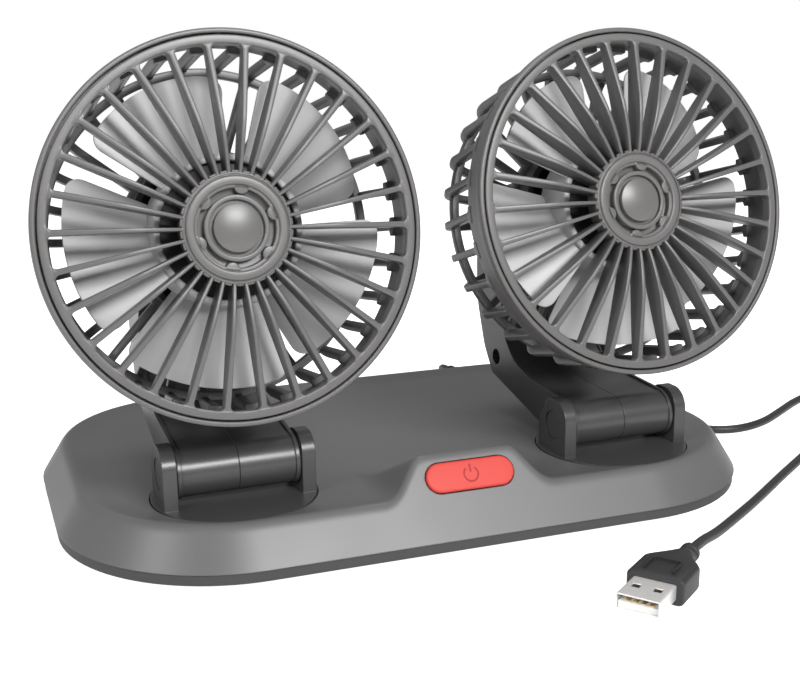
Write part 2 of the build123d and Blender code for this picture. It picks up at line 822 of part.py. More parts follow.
def hub_bezel():
    floor_low = bezel_proud - bezel_recess - bezel_floor
    hub_inner = grille_hub_radius - grille_hub_wall - seat_gap
    bezel = turned((
        (cap_stem_radius + seat_gap, floor_low), (hub_inner, floor_low), (hub_inner, 0),
        (bezel_flange_radius, 0), (bezel_flange_radius, bezel_flange), (bezel_radius, bezel_flange),
        (bezel_radius, bezel_proud), (bezel_lip_radius, bezel_proud),
        (bezel_lip_radius, bezel_proud - lug_drop), (ledge_radius, bezel_proud - lug_drop),
        (ledge_radius, bezel_proud - bezel_recess), (cap_stem_radius + seat_gap, bezel_proud - bezel_recess),
    ))
    rims = bezel.edges().filter_by(GeomType.CIRCLE).sort_by(Axis.Z)[-2:]
    bezel = fillet(rims, bezel_round)
    notch = Pos(bezel_flange_radius, 0, 0) * Box(2 * bezel_notch, bezel_notch_width, 4 * bezel_flange)
    bezel -= around(notch, spoke_count)
    lug = cylinder(lug_radius, floor_low + bezel_floor - weld, bezel_proud - lug_drop, lug_ring)
    lugs = [piece & cylinder(bezel_lip_radius + weld, floor_low, bezel_proud)
            for piece in around(lug, lug_count, lug_start)]
    return bezel + lugs


def hub_cap():
    seat = bezel_proud - bezel_recess
    groove_z = cap_proud - cap_groove
    rise = cap_proud + cap_dome
    dome_edge = cap_proud + cap_dome_edge
    dome_radius = (cap_dome_radius ** 2 + (rise - dome_edge) ** 2) / (2 * (rise - dome_edge))
    half_angle = asin(cap_dome_radius / dome_radius) / 2
    outline = Polyline(
        (0, rise), (0, -spoke_hub_depth), (cap_stem_radius, -spoke_hub_depth), (cap_stem_radius, seat),
        (cap_radius, seat), (cap_radius, cap_proud), (cap_groove_radius, cap_proud),
        (cap_groove_radius, groove_z), (cap_dome_radius, groove_z), (cap_dome_radius, dome_edge),
    )
    bow = (dome_radius * sin(half_angle), rise - dome_radius * (1 - cos(half_angle)))
    dome = ThreePointArc((cap_dome_radius, dome_edge), bow, (0, rise))
    return revolve(Plane.XZ * make_face([*outline.edges(), *dome.edges()]), Axis.Z)


bell_radius = hub_radius - hub_wall


def blade_section(x, half_chord):
    """A blade's section in a plane square to the radius: two bowed sides and two edges."""
    front = -blade_front_depth
    back = -blade_back_depth
    middle = (front + back) / 2
    half = blade_thickness / 2
    bow = blade_camber
    upper = ThreePointArc((-half_chord, back + half), (0, middle + half + bow), (half_chord, front + half))
    lower = ThreePointArc((-half_chord, back - half), (0, middle - half + bow), (half_chord, front - half))
    ends = Line((half_chord, front + half), (half_chord, front - half))
    start = Line((-half_chord, back - half), (-half_chord, back + half))
    face = make_face([*upper.edges(), *lower.edges(), *ends.edges(), *start.edges()])
    return Plane(origin=(x, 0, 0), x_dir=(0, 1, 0), z_dir=(1, 0, 0)) * face


def rotor():
    hub = tube(hub_radius, bell_radius, -hub_back_depth, -hub_front_depth)
    lean = tan(radians(blade_span / 2))
    near = hub_radius * cos(radians(blade_span / 2)) - hub_wall
    far = blade_tip_radius + overrun
    strip = loft([blade_section(near, near * lean + hub_wall), blade_section(far, far * lean + hub_wall)],
                 ruled=True)
    wedge = make_face(Polyline((0, 0), (2 * far, -2 * far * lean), (2 * far, 2 * far * lean), close=True))
    plan = wedge & Circle(blade_tip_radius)
    tips = plan.vertices().sort_by(Axis.X)[-2:]
    plan = fillet(tips, blade_corner) - Circle(hub_radius - hub_wall / 2)
    blade = strip & Pos(0, 0, -2 * blade_back_depth) * extrude(plan, 2 * blade_back_depth)
    return hub + around(blade, blade_count)


def motor_bell():
    front = -bell_front_depth
    bell = tube(bell_radius, bell_radius - bell_wall, -hub_back_depth, front)
    bell += cylinder(bell_radius, front - bell_wall, front)
    bell += cylinder(bell_boss_radius, front - bell_wall - bell_boss, front)
    return bell - cylinder(shaft_radius, -hub_back_depth, overrun)


def motor_magnet():
    outer = bell_radius - bell_wall
    return tube(outer, outer - magnet_wall, -magnet_back_depth, -magnet_front_depth)


def motor_shaft():
    return cylinder(shaft_radius, -shaft_back_depth, -shaft_front_depth)


def motor_stator():
    radius = bell_radius - bell_wall - magnet_wall - air_gap
    core = tube(radius, bearing_tube_radius + fit_gap, -stator_back_depth, -stator_front_depth)
    length = 2 * (stator_back_depth - stator_front_depth)
    middle = -(stator_back_depth + stator_front_depth) / 2
    slot = Pos(radius - stator_slot / 2, 0, middle) * Box(stator_slot + overrun, stator_slot_width, length)
    return core - around(slot, stator_slots)


def motor_bearings():
    one = tube(bearing_radius, shaft_radius + running_gap, 0, bearing_length)
    cup_floor = -cage_depth + rib_height + motor_cup_wall
    return Compound([Pos(0, 0, -bearing_tube_front_depth - bearing_length) * one, Pos(0, 0, cup_floor) * one])


def motor_board():
    low = -motor_board_depth - motor_board_thickness
    return tube(motor_board_radius, bearing_tube_radius + fit_gap, low, -motor_board_depth)


def motor_housing():
    back = -cage_depth + rib_height
    floor = back + motor_cup_wall
    cup = tube(motor_cup_radius, motor_cup_radius - motor_cup_wall, back, -motor_cup_front_depth)
    cup += cylinder(motor_cup_radius, back, floor)
    cup += cylinder(bearing_tube_radius, back, -bearing_tube_front_depth)
    cup -= cylinder(bearing_radius, floor, overrun)
    boss = cylinder(motor_cup_boss_radius, floor - weld, floor + motor_cup_boss, motor_cup_screw_ring)
    cup += around(boss, motor_cup_screw_count, 90)
    hole = cylinder(motor_cup_screw_radius, back - overrun, back + motor_cup_screw_length - rib_height
                    + motor_cup_boss, motor_cup_screw_ring)
    cup -= around(hole, motor_cup_screw_count, 90)
    neck_end = -cage_depth - neck_length
    cup += cylinder(neck_radius, neck_end, back + weld)
    cup += cylinder(neck_flange_radius, neck_end, neck_end + neck_flange)
    cup -= cylinder(neck_bore, neck_end - overrun, back)
    cup -= Pos(wire_way_x / 2, 0, back - neck_bore / 2) * Box(wire_way_x + neck_bore, neck_bore, neck_bore)
    return cup - cylinder(neck_bore / 2, back - neck_bore / 2, floor + overrun, wire_way_x)


def motor_housing_screws():
    length = motor_cup_screw_length + rib_height / 2
    one = screw(motor_cup_screw_radius, motor_cup_screw_head_radius, motor_cup_screw_head, length)
    placed = Pos(motor_cup_screw_ring, 0, -cage_depth) * Rot(180, 0, 0) * one
    return Compound(around(placed, motor_cup_screw_count, 90))


# Supply lead
def cord_gland():
    wall_y = base_depth / 2 - wall_inset(gland_z)
    inner_y = wall_y - base_wall / wall_cos - (gland_collar_radius + seat_gap) * wall_run
    tail = wall_y + gland_neck_radius * wall_run
    profile = [(0, inner_y - gland_collar - gland_inner_length),
               (gland_tail_radius, inner_y - gland_collar - gland_inner_length),
               (gland_tail_radius, inner_y - gland_collar), (gland_collar_radius, inner_y - gland_collar),
               (gland_collar_radius, inner_y), (gland_neck_radius, inner_y), (gland_neck_radius, tail),
               (gland_tail_radius, tail), (gland_tip_radius, tail + gland_length), (0, tail + gland_length)]
    gland = revolve(make_face(Polyline(*profile, close=True)), Axis.Y)
    for k in range(gland_rib_count):
        y = tail + gland_rib_step * (k + 1)
        groove = tube(2 * gland_tail_radius, gland_tip_radius - gland_rib_cut / 2, 0, gland_rib_gap)
        gland -= Pos(0, y, 0) * Rot(-90, 0, 0) * groove
    return Pos(gland_x, 0, gland_z) * gland, tail + gland_length


lead_radius = lead_diameter / 2
lead_z = lead_radius + lead_lift


def lead_run(points):
    """Straight runs joined by the largest arcs that they allow."""
    vectors = [Vector(*point) for point in points]
    radii = []
    for before, here, after in zip(vectors, vectors[1:], vectors[2:]):
        turn = radians((here - before).get_angle(after - here))
        shorter = min((here - before).length, (after - here).length)
        radii.append(bend_share * shorter / tan(turn / 2))
    path = FilletPolyline(*vectors, radius=radii)
    print("lead arc radii", [round(radius, 1) for radius in radii], "length", round(path.length, 1))
    return path


def coil_path():
    """The coil's centre line: half turns inwards, a climb, and half turns outwards."""
    step = coil_pitch / 2
    place = coil_outer_radius
    height = 0.0
    edges = [Line((place, -lead_diameter, 0), (place, 0, 0))]
    radius = coil_outer_radius
    side = 1
    for k in range(2 * coil_half_turns + 2):
        nxt = place - side * 2 * radius
        middle = (place + nxt) / 2
        if k == coil_half_turns:
            lift = coil_pitch
            crest = hypot(radius, lift / 2)
            top = (middle, side * crest, height + lift / 2)
            ahead = (0, side, 0)
            first = TangentArc((place, 0, height), top, tangent=ahead)
            second = TangentArc(top, (nxt, 0, height + lift), tangent=first % 1)
            edges += [first, second]
            height += lift
        else:
            edges.append(ThreePointArc((place, 0, height), (middle, side * radius, height), (nxt, 0, height)))
        place = nxt
        side = -side
        radius += -step if k < coil_half_turns else step
    edges.append(Line((place, 0, height), (place, side * lead_diameter, height)))
    return Wire([edge.edges()[0] for edge in edges])


coil_frame = Pos(coil_x, coil_y, lead_z) * Rot(0, 0, coil_heading - 90)


def least_gap(path):
    """The coil's least gap to itself, measured between places along it."""
    samples = [path @ (k / coil_samples) for k in range(coil_samples + 1)]
    arc = path.length / coil_samples
    least = min((one - other).length for i, one in enumerate(samples)
                for j, other in enumerate(samples) if (j - i) * arc > 4 * lead_diameter)
    return least - lead_diameter


# Plug, in its own frame: origin at the middle of the shell's tip, +X towards the lead
def along(length, width, height):
    """A bar along +X from the origin."""
    return Box(length, width, height, align=(Align.MIN, Align.CENTER, Align.CENTER))


def plug_shell():
    bar = along(shell_length, shell_width, shell_height)
    bar = fillet(bar.edges().filter_by(Axis.X), shell_round)
    inside = along(shell_length + 2 * overrun, shell_width - 2 * shell_wall, shell_height - 2 * shell_wall)
    shell = bar - Pos(-overrun, 0, 0) * inside
    for side in (-1, 1):
        window = Pos(shell_window_from_tip, side * shell_window_offset, 0)
        shell -= window * Box(shell_window, shell_window, 2 * shell_height)
    return shell


def plug_body():
    end = shell_free + plug_body_straight
    body = Pos(shell_free, 0, 0) * along(plug_body_straight, plug_body_width, plug_body_height)
    body = fillet(body.edges().filter_by(Axis.X), plug_corner)
    wide = Plane(origin=(end, 0, 0), z_dir=(1, 0, 0), x_dir=(0, 1, 0))
    neck = Plane(origin=(end + plug_shoulder, 0, 0), z_dir=(1, 0, 0), x_dir=(0, 1, 0))
    body += loft([wide * RectangleRounded(plug_body_width, plug_body_height, plug_corner),
                  neck * RectangleRounded(plug_neck_width, plug_neck_height, plug_corner)], ruled=True)
    start = end + plug_shoulder
    turn = Pos(start, 0, 0) * Rot(0, 90, 0)
    body += turn * cylinder(plug_relief_core, -weld, plug_relief)
    rib = plug_relief / (2 * plug_relief_ribs + 1)
    for k in range(plug_relief_ribs):
        body += turn * cylinder(plug_relief_radius, rib * (2 * k + 1), rib * (2 * k + 2))
    return body - along(shell_length, shell_width, shell_height)


def plug_insert():
    thickness = insert_thickness
    low = -shell_height / 2 + shell_wall
    tongue = along(shell_length - insert_tip_gap, insert_width, thickness)
    tongue = Pos(insert_tip_gap, 0, low + thickness / 2) * tongue
    back = shell_length - shell_free - overrun
    block = along(back, shell_width - 2 * shell_wall, shell_height - 2 * shell_wall)
    return tongue + Pos(shell_length - back, 0, 0) * block


def plug_contacts():
    top = -shell_height / 2 + shell_wall + insert_thickness
    bar = along(contact_length, contact_width, contact_thickness)
    first = -(contact_count - 1) / 2
    return Compound([Pos(2 * insert_tip_gap, (first + k) * contact_pitch, top + contact_thickness / 2) * bar
                     for k in range(contact_count)])


# Assembly
moulding = housing()
save(moulding - middle_stretch(), "base_shell")
save(moulding & middle_stretch(), "base_console")
save(base_cover(), "base_cover")
save(base_pad(), "base_pad")
save(cover_screws(), "base_cover_screws")
save(power_button(), "power_button")
save(push_switch(), "push_switch")
save(control_board(), "control_board")
save(board_screws(), "control_board_screws")

turntable_pieces = {
    "turntable": turntable(), "turntable_retainer": retainer(), "turntable_screws": retainer_screws(),
    "hinge_pin": hinge_pin(), "hinge_caps": ear_caps(), "hinge_washers": hinge_washers(),
}
arm_pieces = {
    "arm_half_a": arm_half(-1), "arm_half_b": arm_half(1), "arm_screws": arm_screws(),
}
head_pieces = {
    "rear_cage": rear_cage(), "hub_bezel": hub_bezel(), "hub_cap": hub_cap(),
    "motor_bell": motor_bell(), "motor_magnet": motor_magnet(), "motor_shaft": motor_shaft(),
    "motor_stator": motor_stator(), "motor_bearings": motor_bearings(), "motor_board": motor_board(),
    "motor_housing": motor_housing(), "motor_housing_screws": motor_housing_screws(),
}
grille = front_grille()
blades = rotor()
sides = (("left", -1, left_turn, left_elevation, left_spoke_start, left_blade_start),
         ("right", 1, right_turn, right_elevation, right_spoke_start, right_blade_start))
for name, side, turn, elevation, spoke_start, blade_start in sides:
    disc_frame = Pos(side * turntable_x, turntable_y, turntable_top_z) * Rot(0, 0, turn)
    arm_frame = disc_frame * Pos(0, hinge_y, hinge_z) * Rot(design_elevation - elevation, 0, 0)
    head_frame = arm_frame * head_plane.location
    for piece, shape in turntable_pieces.items():
        save(disc_frame * shape, f"{name}_{piece}")
    for piece, shape in arm_pieces.items():
        save(arm_frame * shape, f"{name}_{piece}")
    for piece, shape in head_pieces.items():
        save(head_frame * Rot(0, 0, spoke_start) * shape, f"{name}_{piece}")
    save(head_frame * Rot(0, 0, spoke_start) * grille, f"{name}_front_grille")
    save(head_frame * Rot(0, 0, blade_start) * blades, f"{name}_rotor")
    hinge = arm_frame.position
    axis = head_frame * Pos(0, 0, 1)
    forward = axis.position - head_frame.position
    print(name, "hinge", hinge, "ring centre", head_frame.position, "axis", forward)

gland, gland_end = cord_gland()
save(gland, "cord_gland")
coil_line = coil_frame * coil_path()
coil_start = coil_line @ 0
coil_end = coil_line @ 1
print("coil length", round(coil_line.length, 1), "least gap", round(least_gap(coil_line), 2))
print("coil start", coil_start, "heading", coil_line % 0, "coil end", coil_end, "heading", coil_line % 1)

plug_z = plug_body_height / 2 + lead_lift
plug_frame = Pos(plug_x, plug_y, plug_z) * Rot(0, 0, plug_heading)
save(plug_frame * plug_shell(), "plug_shell")
save(plug_frame * plug_body(), "plug_body")
save(plug_frame * plug_insert(), "plug_insert")
save(plug_frame * plug_contacts(), "plug_contacts")
plug_length = shell_free + plug_body_straight + plug_shoulder + plug_relief
plug_end = (plug_frame * Pos(plug_length, 0, 0)).position
print("plug end", plug_end, "gland end", gland_x, gland_end, gland_z)

# The lead's route, point by point: first round the base, then from the coil to the plug
rear_route = (
    (gland_x, gland_end, gland_z),
    (gland_x, gland_end + lead_in / 3, gland_z),
    (63.5, 106.5, 3.9),
    (73.0, 109.0, 1.8),
    (90.0, 102.0, lead_z),
    (106.0, 88.0, lead_z),
    (117.0, 69.0, lead_z),
    (121.5, 47.0, lead_z),
    (121.0, 26.0, lead_z),
    (120.0, 8.0, lead_z),
    (124.5, -5.5, lead_z),
    (136.0, -10.5, lead_z),
    (151.0, -7.0, lead_z),
    (167.0, 3.0, lead_z),
    (182.0, 13.0, lead_z),
    (197.0, 19.5, lead_z),
    (209.5, 18.0, lead_z),
    (212.5, 9.0, lead_z),
    tuple(coil_start - (coil_line % 0) * lead_in * 2),
    tuple(coil_start),
)
front_route = (
    tuple(coil_end),
    tuple(coil_end + (coil_line % 1) * lead_in / 2),
    (143.0, -43.5, 2.2),
    (132.0, -50.5, lead_z),
    (117.0, -61.0, lead_z),
    (97.0, -75.5, lead_z),
    (79.0, -87.4, lead_z),
    (68.5, -94.8, 2.2),
    tuple(plug_end + (plug_end - plug_frame.position).normalized() * lead_in / 3),
    tuple(plug_end),
)
rear_line = lead_run(rear_route)
front_line = lead_run(front_route)
lead_line = Wire([*rear_line.edges(), *coil_line.edges(), *front_line.edges()])
section = Plane(origin=lead_line @ 0, z_dir=lead_line % 0) * Circle(lead_radius)
lead = sweep(section, path=lead_line)
ratio = lead.volume / (pi * lead_radius ** 2 * lead_line.length)
print("lead length", round(lead_line.length, 1), "swept volume over section times length", round(ratio, 4))
save(lead, "supply_lead")
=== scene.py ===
import json
from math import atan2, cos, pi, radians, sin, sqrt, tan
import bmesh
import bpy
from mathutils import Matrix, Vector


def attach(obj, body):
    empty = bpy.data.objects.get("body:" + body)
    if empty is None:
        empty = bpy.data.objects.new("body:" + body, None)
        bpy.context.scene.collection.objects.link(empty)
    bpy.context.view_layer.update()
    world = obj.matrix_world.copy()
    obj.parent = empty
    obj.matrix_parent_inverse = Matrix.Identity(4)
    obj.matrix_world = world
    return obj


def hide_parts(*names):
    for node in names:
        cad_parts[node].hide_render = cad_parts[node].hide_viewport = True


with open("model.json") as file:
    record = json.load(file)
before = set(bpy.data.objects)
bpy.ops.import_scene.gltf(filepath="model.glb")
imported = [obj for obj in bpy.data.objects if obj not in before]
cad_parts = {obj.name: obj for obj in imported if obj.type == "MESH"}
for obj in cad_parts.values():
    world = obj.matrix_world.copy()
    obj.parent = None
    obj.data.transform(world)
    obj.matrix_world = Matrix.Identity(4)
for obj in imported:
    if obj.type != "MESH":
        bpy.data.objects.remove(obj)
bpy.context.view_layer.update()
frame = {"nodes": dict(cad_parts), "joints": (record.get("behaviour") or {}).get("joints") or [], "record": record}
mm = 0.001
alongX = Vector((1, 0, 0))
alongY = Vector((0, 1, 0))
alongZ = Vector((0, 0, 1))
print("frame loaded:", len(frame["nodes"]), "nodes")


def addObject(name, data):
    item = bpy.data.objects.new(name, data)
    bpy.context.scene.collection.objects.link(item)
    return item


# Camera: worked out from the rings, the hinges and the base's outline in the photograph
view = {
    "place": (-136.4, -376.8, 142.7),
    "yaw": 20.48,        # degrees to the right of +Y
    "pitch": 13.74,      # degrees down
    "roll": -0.42,
    "lens": 54.45,
    "sensor": 36,
    "clipStart": 0.01,   # in metres
}


def addCamera():
    yaw = radians(view["yaw"])
    pitch = radians(view["pitch"])
    roll = radians(view["roll"])
    ahead = Vector((sin(yaw) * cos(pitch), cos(yaw) * cos(pitch), -sin(pitch)))
    side = Vector((cos(yaw), -sin(yaw), 0))
    up = side.cross(ahead)
    right = cos(roll) * side + sin(roll) * up
    top = -sin(roll) * side + cos(roll) * up
    data = bpy.data.cameras.new("camera")
    data.lens = view["lens"]
    data.sensor_width = view["sensor"]
    data.clip_start = view["clipStart"]
    camera = addObject("camera", data)
    turned = Matrix((right, top, -ahead)).transposed().to_4x4()
    camera.matrix_world = Matrix.Translation(Vector(view["place"]) * mm) @ turned
    bpy.context.scene.camera = camera


addCamera()
print("camera in place")


# Supply lead: from the gland behind the base, along the table to a neat coil, and back to the plug
lead = {
    "diameter": 3.0,
    "length": 1355,
    "height": 1.6,               # of its centre line on the table
    "coilCentre": (181.0, -44.0),
    "coilHeading": 217.5,
    "coilRadius": 23.0,
    "coilPitch": 3.5,
    "halfTurns": 7,              # in the lower layer, before it climbs
    "pointsPerHalfTurn": 8,
    "roundSteps": 6,
    "runSteps": 10,
    "rear": [
        (60.0, 87.364, 8.1), (60.0, 95.364, 8.1), (63.5, 106.5, 3.9), (73.0, 109.0, 1.8), (90.0, 102.0, 1.6),
        (106.0, 88.0, 1.6), (117.0, 69.0, 1.6), (121.5, 47.0, 1.6), (121.0, 26.0, 1.6), (120.0, 8.0, 1.6),
        (124.5, -5.5, 1.6), (136.0, -10.5, 1.6), (151.0, -7.0, 1.6), (167.0, 3.0, 1.6), (182.0, 13.0, 1.6),
        (197.0, 19.5, 1.6), (209.5, 18.0, 1.6), (212.5, 9.0, 1.6), (207.46, 5.294, 1.6),
    ],
    "front": [
        (155.098, -34.884, 5.1), (143.0, -43.5, 2.2), (132.0, -50.5, 1.6), (117.0, -61.0, 1.6),
        (97.0, -75.5, 1.6), (79.0, -87.4, 1.6), (68.5, -94.8, 2.2), (59.033, -101.212, 3.9),
        (52.644, -106.026, 3.9),
    ],
}


def coilPoints():
    heading = radians(lead["coilHeading"])
    outward = Vector((sin(heading), -cos(heading), 0))
    onward = Vector((cos(heading), sin(heading), 0))
    centre = Vector((*lead["coilCentre"], lead["height"]))
    count = lead["pointsPerHalfTurn"]
    swell = 1 / cos(pi / (2 * count))      # the spline runs inside its control points
    radius = lead["coilRadius"]
    place = radius
    side = 1
    height = 0.0
    points = []
    for k in range(2 * lead["halfTurns"] + 2):
        middle = place - side * radius
        climbs = k == lead["halfTurns"]
        for j in range(count):
            share = (j + 0.5) / count
            angle = pi * share
            reach = radius * swell
            out = middle + side * reach * cos(angle)
            along = side * reach * sin(angle)
            rise = height + (lead["coilPitch"] * share if climbs else 0)
            points.append(centre + outward * out + onward * along + Vector((0, 0, rise)))
        if climbs:
            height += lead["coilPitch"]
        place = middle - side * radius
        side = -side
        radius += -lead["coilPitch"] / 2 if k < lead["halfTurns"] else lead["coilPitch"] / 2
    return points


def addLead():
    points = [Vector(p) for p in lead["rear"]] + coilPoints() + [Vector(p) for p in lead["front"]]
    curve = bpy.data.curves.new("supplyLead", "CURVE")
    curve.dimensions = "3D"
    curve.bevel_depth = 1.0      # the points' radius scales it, and keeps the curve's box true
    curve.bevel_resolution = lead["roundSteps"]
    curve.resolution_u = lead["runSteps"]
    curve.use_fill_caps = True
    spline = curve.splines.new("NURBS")
    spline.points.add(len(points) - 1)
    for spot, point in zip(spline.points, points):
        spot.co = (*(point * mm), 1)
        spot.radius = lead["diameter"] / 2 * mm
    spline.order_u = 3
    spline.use_endpoint_u = True
    cord = addObject("supplyLead", curve)
    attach(cord, "base")
    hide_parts("supply_lead")
    return cord


cord = addLead()
print("lead laid")


# Finishes
def newMaterial(name):
    material = bpy.data.materials.new(name)
    material.use_nodes = True
    nodes = material.node_tree.nodes
    return material, nodes, material.node_tree.links, nodes["Principled BSDF"]


def noiseTexture(nodes, links, coordinates, scale, detail):
    noise = nodes.new("ShaderNodeTexNoise")
    noise.inputs["Scale"].default_value = scale
    noise.inputs["Detail"].default_value = detail
    links.new(coordinates.outputs["Object"], noise.inputs["Vector"])
    return noise


def shaded(colour, factor):
    return (*[min(1, channel * factor) for channel in colour], 1)


surface = {
    "cloudScale": 30,
    "cloudDetail": 3,
    "cloudTint": 0.06,
    "cloudRoughness": 0.05,
    "grainScale": 2600,
    "grainDetail": 2,
    "grainHeight": 0.0001,   # in metres
    "edgeRadius": 0.0004,    # in metres: edges catch the light as a moulded radius does
    "edgeSamples": 4,
}


def moulded(name, look):
    s = surface
    material, nodes, links, shader = newMaterial(name)
    coordinates = nodes.new("ShaderNodeTexCoord")
    cloud = noiseTexture(nodes, links, coordinates, s["cloudScale"], s["cloudDetail"])
    grain = noiseTexture(nodes, links, coordinates, s["grainScale"], s["grainDetail"])
    tint = nodes.new("ShaderNodeMix")
    tint.data_type = "RGBA"
    tint.inputs["A"].default_value = shaded(look["colour"], 1 - s["cloudTint"])
    tint.inputs["B"].default_value = shaded(look["colour"], 1 + s["cloudTint"])
    links.new(cloud.outputs["Fac"], tint.inputs["Factor"])
    links.new(tint.outputs["Result"], shader.inputs["Base Color"])
    rough = nodes.new("ShaderNodeMapRange")
    rough.inputs["To Min"].default_value = look["roughness"] - s["cloudRoughness"]
    rough.inputs["To Max"].default_value = look["roughness"] + s["cloudRoughness"]
    links.new(cloud.outputs["Fac"], rough.inputs["Value"])
    links.new(rough.outputs["Result"], shader.inputs["Roughness"])
    bump = nodes.new("ShaderNodeBump")
    bump.inputs["Strength"].default_value = look["grain"]
    bump.inputs["Distance"].default_value = s["grainHeight"]
    links.new(grain.outputs["Fac"], bump.inputs["Height"])
    edge = nodes.new("ShaderNodeBevel")
    edge.samples = s["edgeSamples"]
    edge.inputs["Radius"].default_value = s["edgeRadius"]
    links.new(edge.outputs["Normal"], bump.inputs["Normal"])
    links.new(bump.outputs["Normal"], shader.inputs["Normal"])
    for socket, value in look.get("shader", {}).items():
        shader.inputs[socket].default_value = value
    return material


metal = {"Metallic": 1.0}
finishes = {
    "housing_grey": {"colour": (0.13, 0.127, 0.128), "roughness": 0.4, "grain": 0.15},
    "hinge_grey": {"colour": (0.058, 0.057, 0.057), "roughness": 0.3, "grain": 0.12},
    "grille_grey": {"colour": (0.118, 0.115, 0.114), "roughness": 0.36, "grain": 0.1},
    "hub_grey": {"colour": (0.13, 0.127, 0.125), "roughness": 0.32, "grain": 0.1},
    "cover_dark": {"colour": (0.05, 0.05, 0.05), "roughness": 0.6, "grain": 0.25},
    "pad_rubber": {"colour": (0.03, 0.03, 0.03), "roughness": 0.8, "grain": 0.3},
    "blade_white": {"colour": (0.5, 0.5, 0.505), "roughness": 0.4, "grain": 0.05},
    "motor_black": {"colour": (0.018, 0.018, 0.019), "roughness": 0.45, "grain": 0.15},
    "motor_steel": {"colour": (0.5, 0.5, 0.5), "roughness": 0.3, "grain": 0.1, "shader": metal},
    "magnet_dark": {"colour": (0.04, 0.04, 0.045), "roughness": 0.6, "grain": 0.2},
    "screw_steel": {"colour": (0.45, 0.45, 0.46), "roughness": 0.35, "grain": 0.1, "shader": metal},
    "button_red": {"colour": (0.64, 0.068, 0.054), "roughness": 0.5, "grain": 0.1,
                   "shader": {"Specular IOR Level": 0.25}},
    "switch_black": {"colour": (0.02, 0.02, 0.02), "roughness": 0.5, "grain": 0.1},
    "board_green": {"colour": (0.02, 0.12, 0.06), "roughness": 0.4, "grain": 0.1},
    "lead_black": {"colour": (0.022, 0.022, 0.024), "roughness": 0.45, "grain": 0.1},
    "plug_black": {"colour": (0.021, 0.021, 0.022), "roughness": 0.5, "grain": 0.2},
    "shell_nickel": {"colour": (0.88, 0.87, 0.85), "roughness": 0.32, "grain": 0.05,
                     "shader": {"Metallic": 0.6}},
    "insert_white": {"colour": (0.82, 0.82, 0.8), "roughness": 0.4, "grain": 0.05},
    "contact_gold": {"colour": (0.85, 0.62, 0.28), "roughness": 0.3, "grain": 0.05, "shader": metal},
    "washer_nylon": {"colour": (0.6, 0.6, 0.58), "roughness": 0.5, "grain": 0.1},
}
materials = {slot: moulded(slot.replace("_", " "), look) for slot, look in finishes.items()}

for part in frame["record"]["subparts"]:
    node = frame["nodes"][part["node"]]
    node.data.materials.clear()
    node.data.materials.append(materials[part["material_slot"]])
cord.data.materials.append(materials["lead_black"])
print("finishes made:", len(materials))


# Forms: outlines are in millimetres, in the piece's own frame
def roundCorners(corners, steps=4):
    # corners: (x, y, rounding) of a closed outline; a corner with a rounding becomes an arc
    outline = []
    for k, (x, y, rounding) in enumerate(corners):
        here = Vector((x, y))
        if rounding <= 0:
            outline.append(here)
            continue
        before = (Vector(corners[k - 1][:2]) - here).normalized()
        after = (Vector(corners[(k + 1) % len(corners)][:2]) - here).normalized()
        half = before.angle(after) / 2
        centre = here + (before + after).normalized() * rounding / sin(half)
        start = here + before * rounding / tan(half) - centre
        end = here + after * rounding / tan(half) - centre
        sweep = atan2(start.x * end.y - start.y * end.x, start.dot(end))
        for j in range(steps + 1):
            angle = sweep * j / steps
            outline.append(centre + Vector((start.x * cos(angle) - start.y * sin(angle),
                                            start.x * sin(angle) + start.y * cos(angle))))
    return outline


def loft(form, rings, capped=True):
    # joins each ring of vertices to the next
    for near, far in zip(rings, rings[1:]):
        for j in range(len(near)):
            form.faces.new((near[j - 1], near[j], far[j], far[j - 1]))
    if capped:
        form.faces.new(rings[0])
        form.faces.new(rings[-1])


def turn(form, place, outline, steps=144):
    # turns a closed outline of radius and height about Z
    rings = []
    for k in range(steps):
        angle = 2 * pi * k / steps
        rings.append([form.verts.new(place @ Vector((r * cos(angle), r * sin(angle), z)))
                      for r, z in outline])
    loft(form, rings + rings[:1], False)


def sweepBar(form, place, stations, steps=2):
    # stations: centre, side, up, half width, half height, rounding
    rings = []
    for centre, side, up, halfWidth, halfHeight, rounding in stations:
        ring = []
        for k, (across, above) in enumerate(((1, 1), (-1, 1), (-1, -1), (1, -1))):
            for j in range(steps + 1):
                angle = pi / 2 * (k + j / steps)
                x = across * (halfWidth - rounding) + rounding * cos(angle)
                y = above * (halfHeight - rounding) + rounding * sin(angle)
                ring.append(form.verts.new(place @ (centre + side * x + up * y)))
        rings.append(ring)
    loft(form, rings)


weldDistance = 1e-4      # millimetres


def objectOf(form, name):
    bmesh.ops.recalc_face_normals(form, faces=form.faces)
    mesh = bpy.data.meshes.new(name)
    form.to_mesh(mesh)
    form.free()
    mesh.transform(Matrix.Scale(mm, 4))
    return addObject(name, mesh)


def smooth(piece, sharpAngle):
    piece.data.shade_smooth()
    piece.data.set_sharp_from_angle(angle=radians(sharpAngle))


def makePiece(name, form, body, slot, replaced, sharpAngle=38):
    bmesh.ops.remove_doubles(form, verts=form.verts, dist=weldDistance)
    piece = objectOf(form, name)
    smooth(piece, sharpAngle)
    piece.data.materials.append(materials[slot])
    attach(piece, body)
    if replaced:
        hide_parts(*replaced)
    return piece


def curveThrough(points, x):
    # the height at x of the parabola through three points
    (a, fa), (b, fb), (c, fc) = points
    return (fa * (x - b) * (x - c) / ((a - b) * (a - c)) + fb * (x - a) * (x - c) / ((b - a) * (b - c))
            + fc * (x - a) * (x - b) / ((c - a) * (c - b)))


# Heads: each has its frame in the ring's plane, +Z forward
heads = {
    "left": {"spokeStart": -98.0, "bladeStart": 42.0},
    "right": {"spokeStart": -96.0, "bladeStart": 51.0},
}
spinDepth = 18.0        # from the ring's plane back to the place of the spin joint


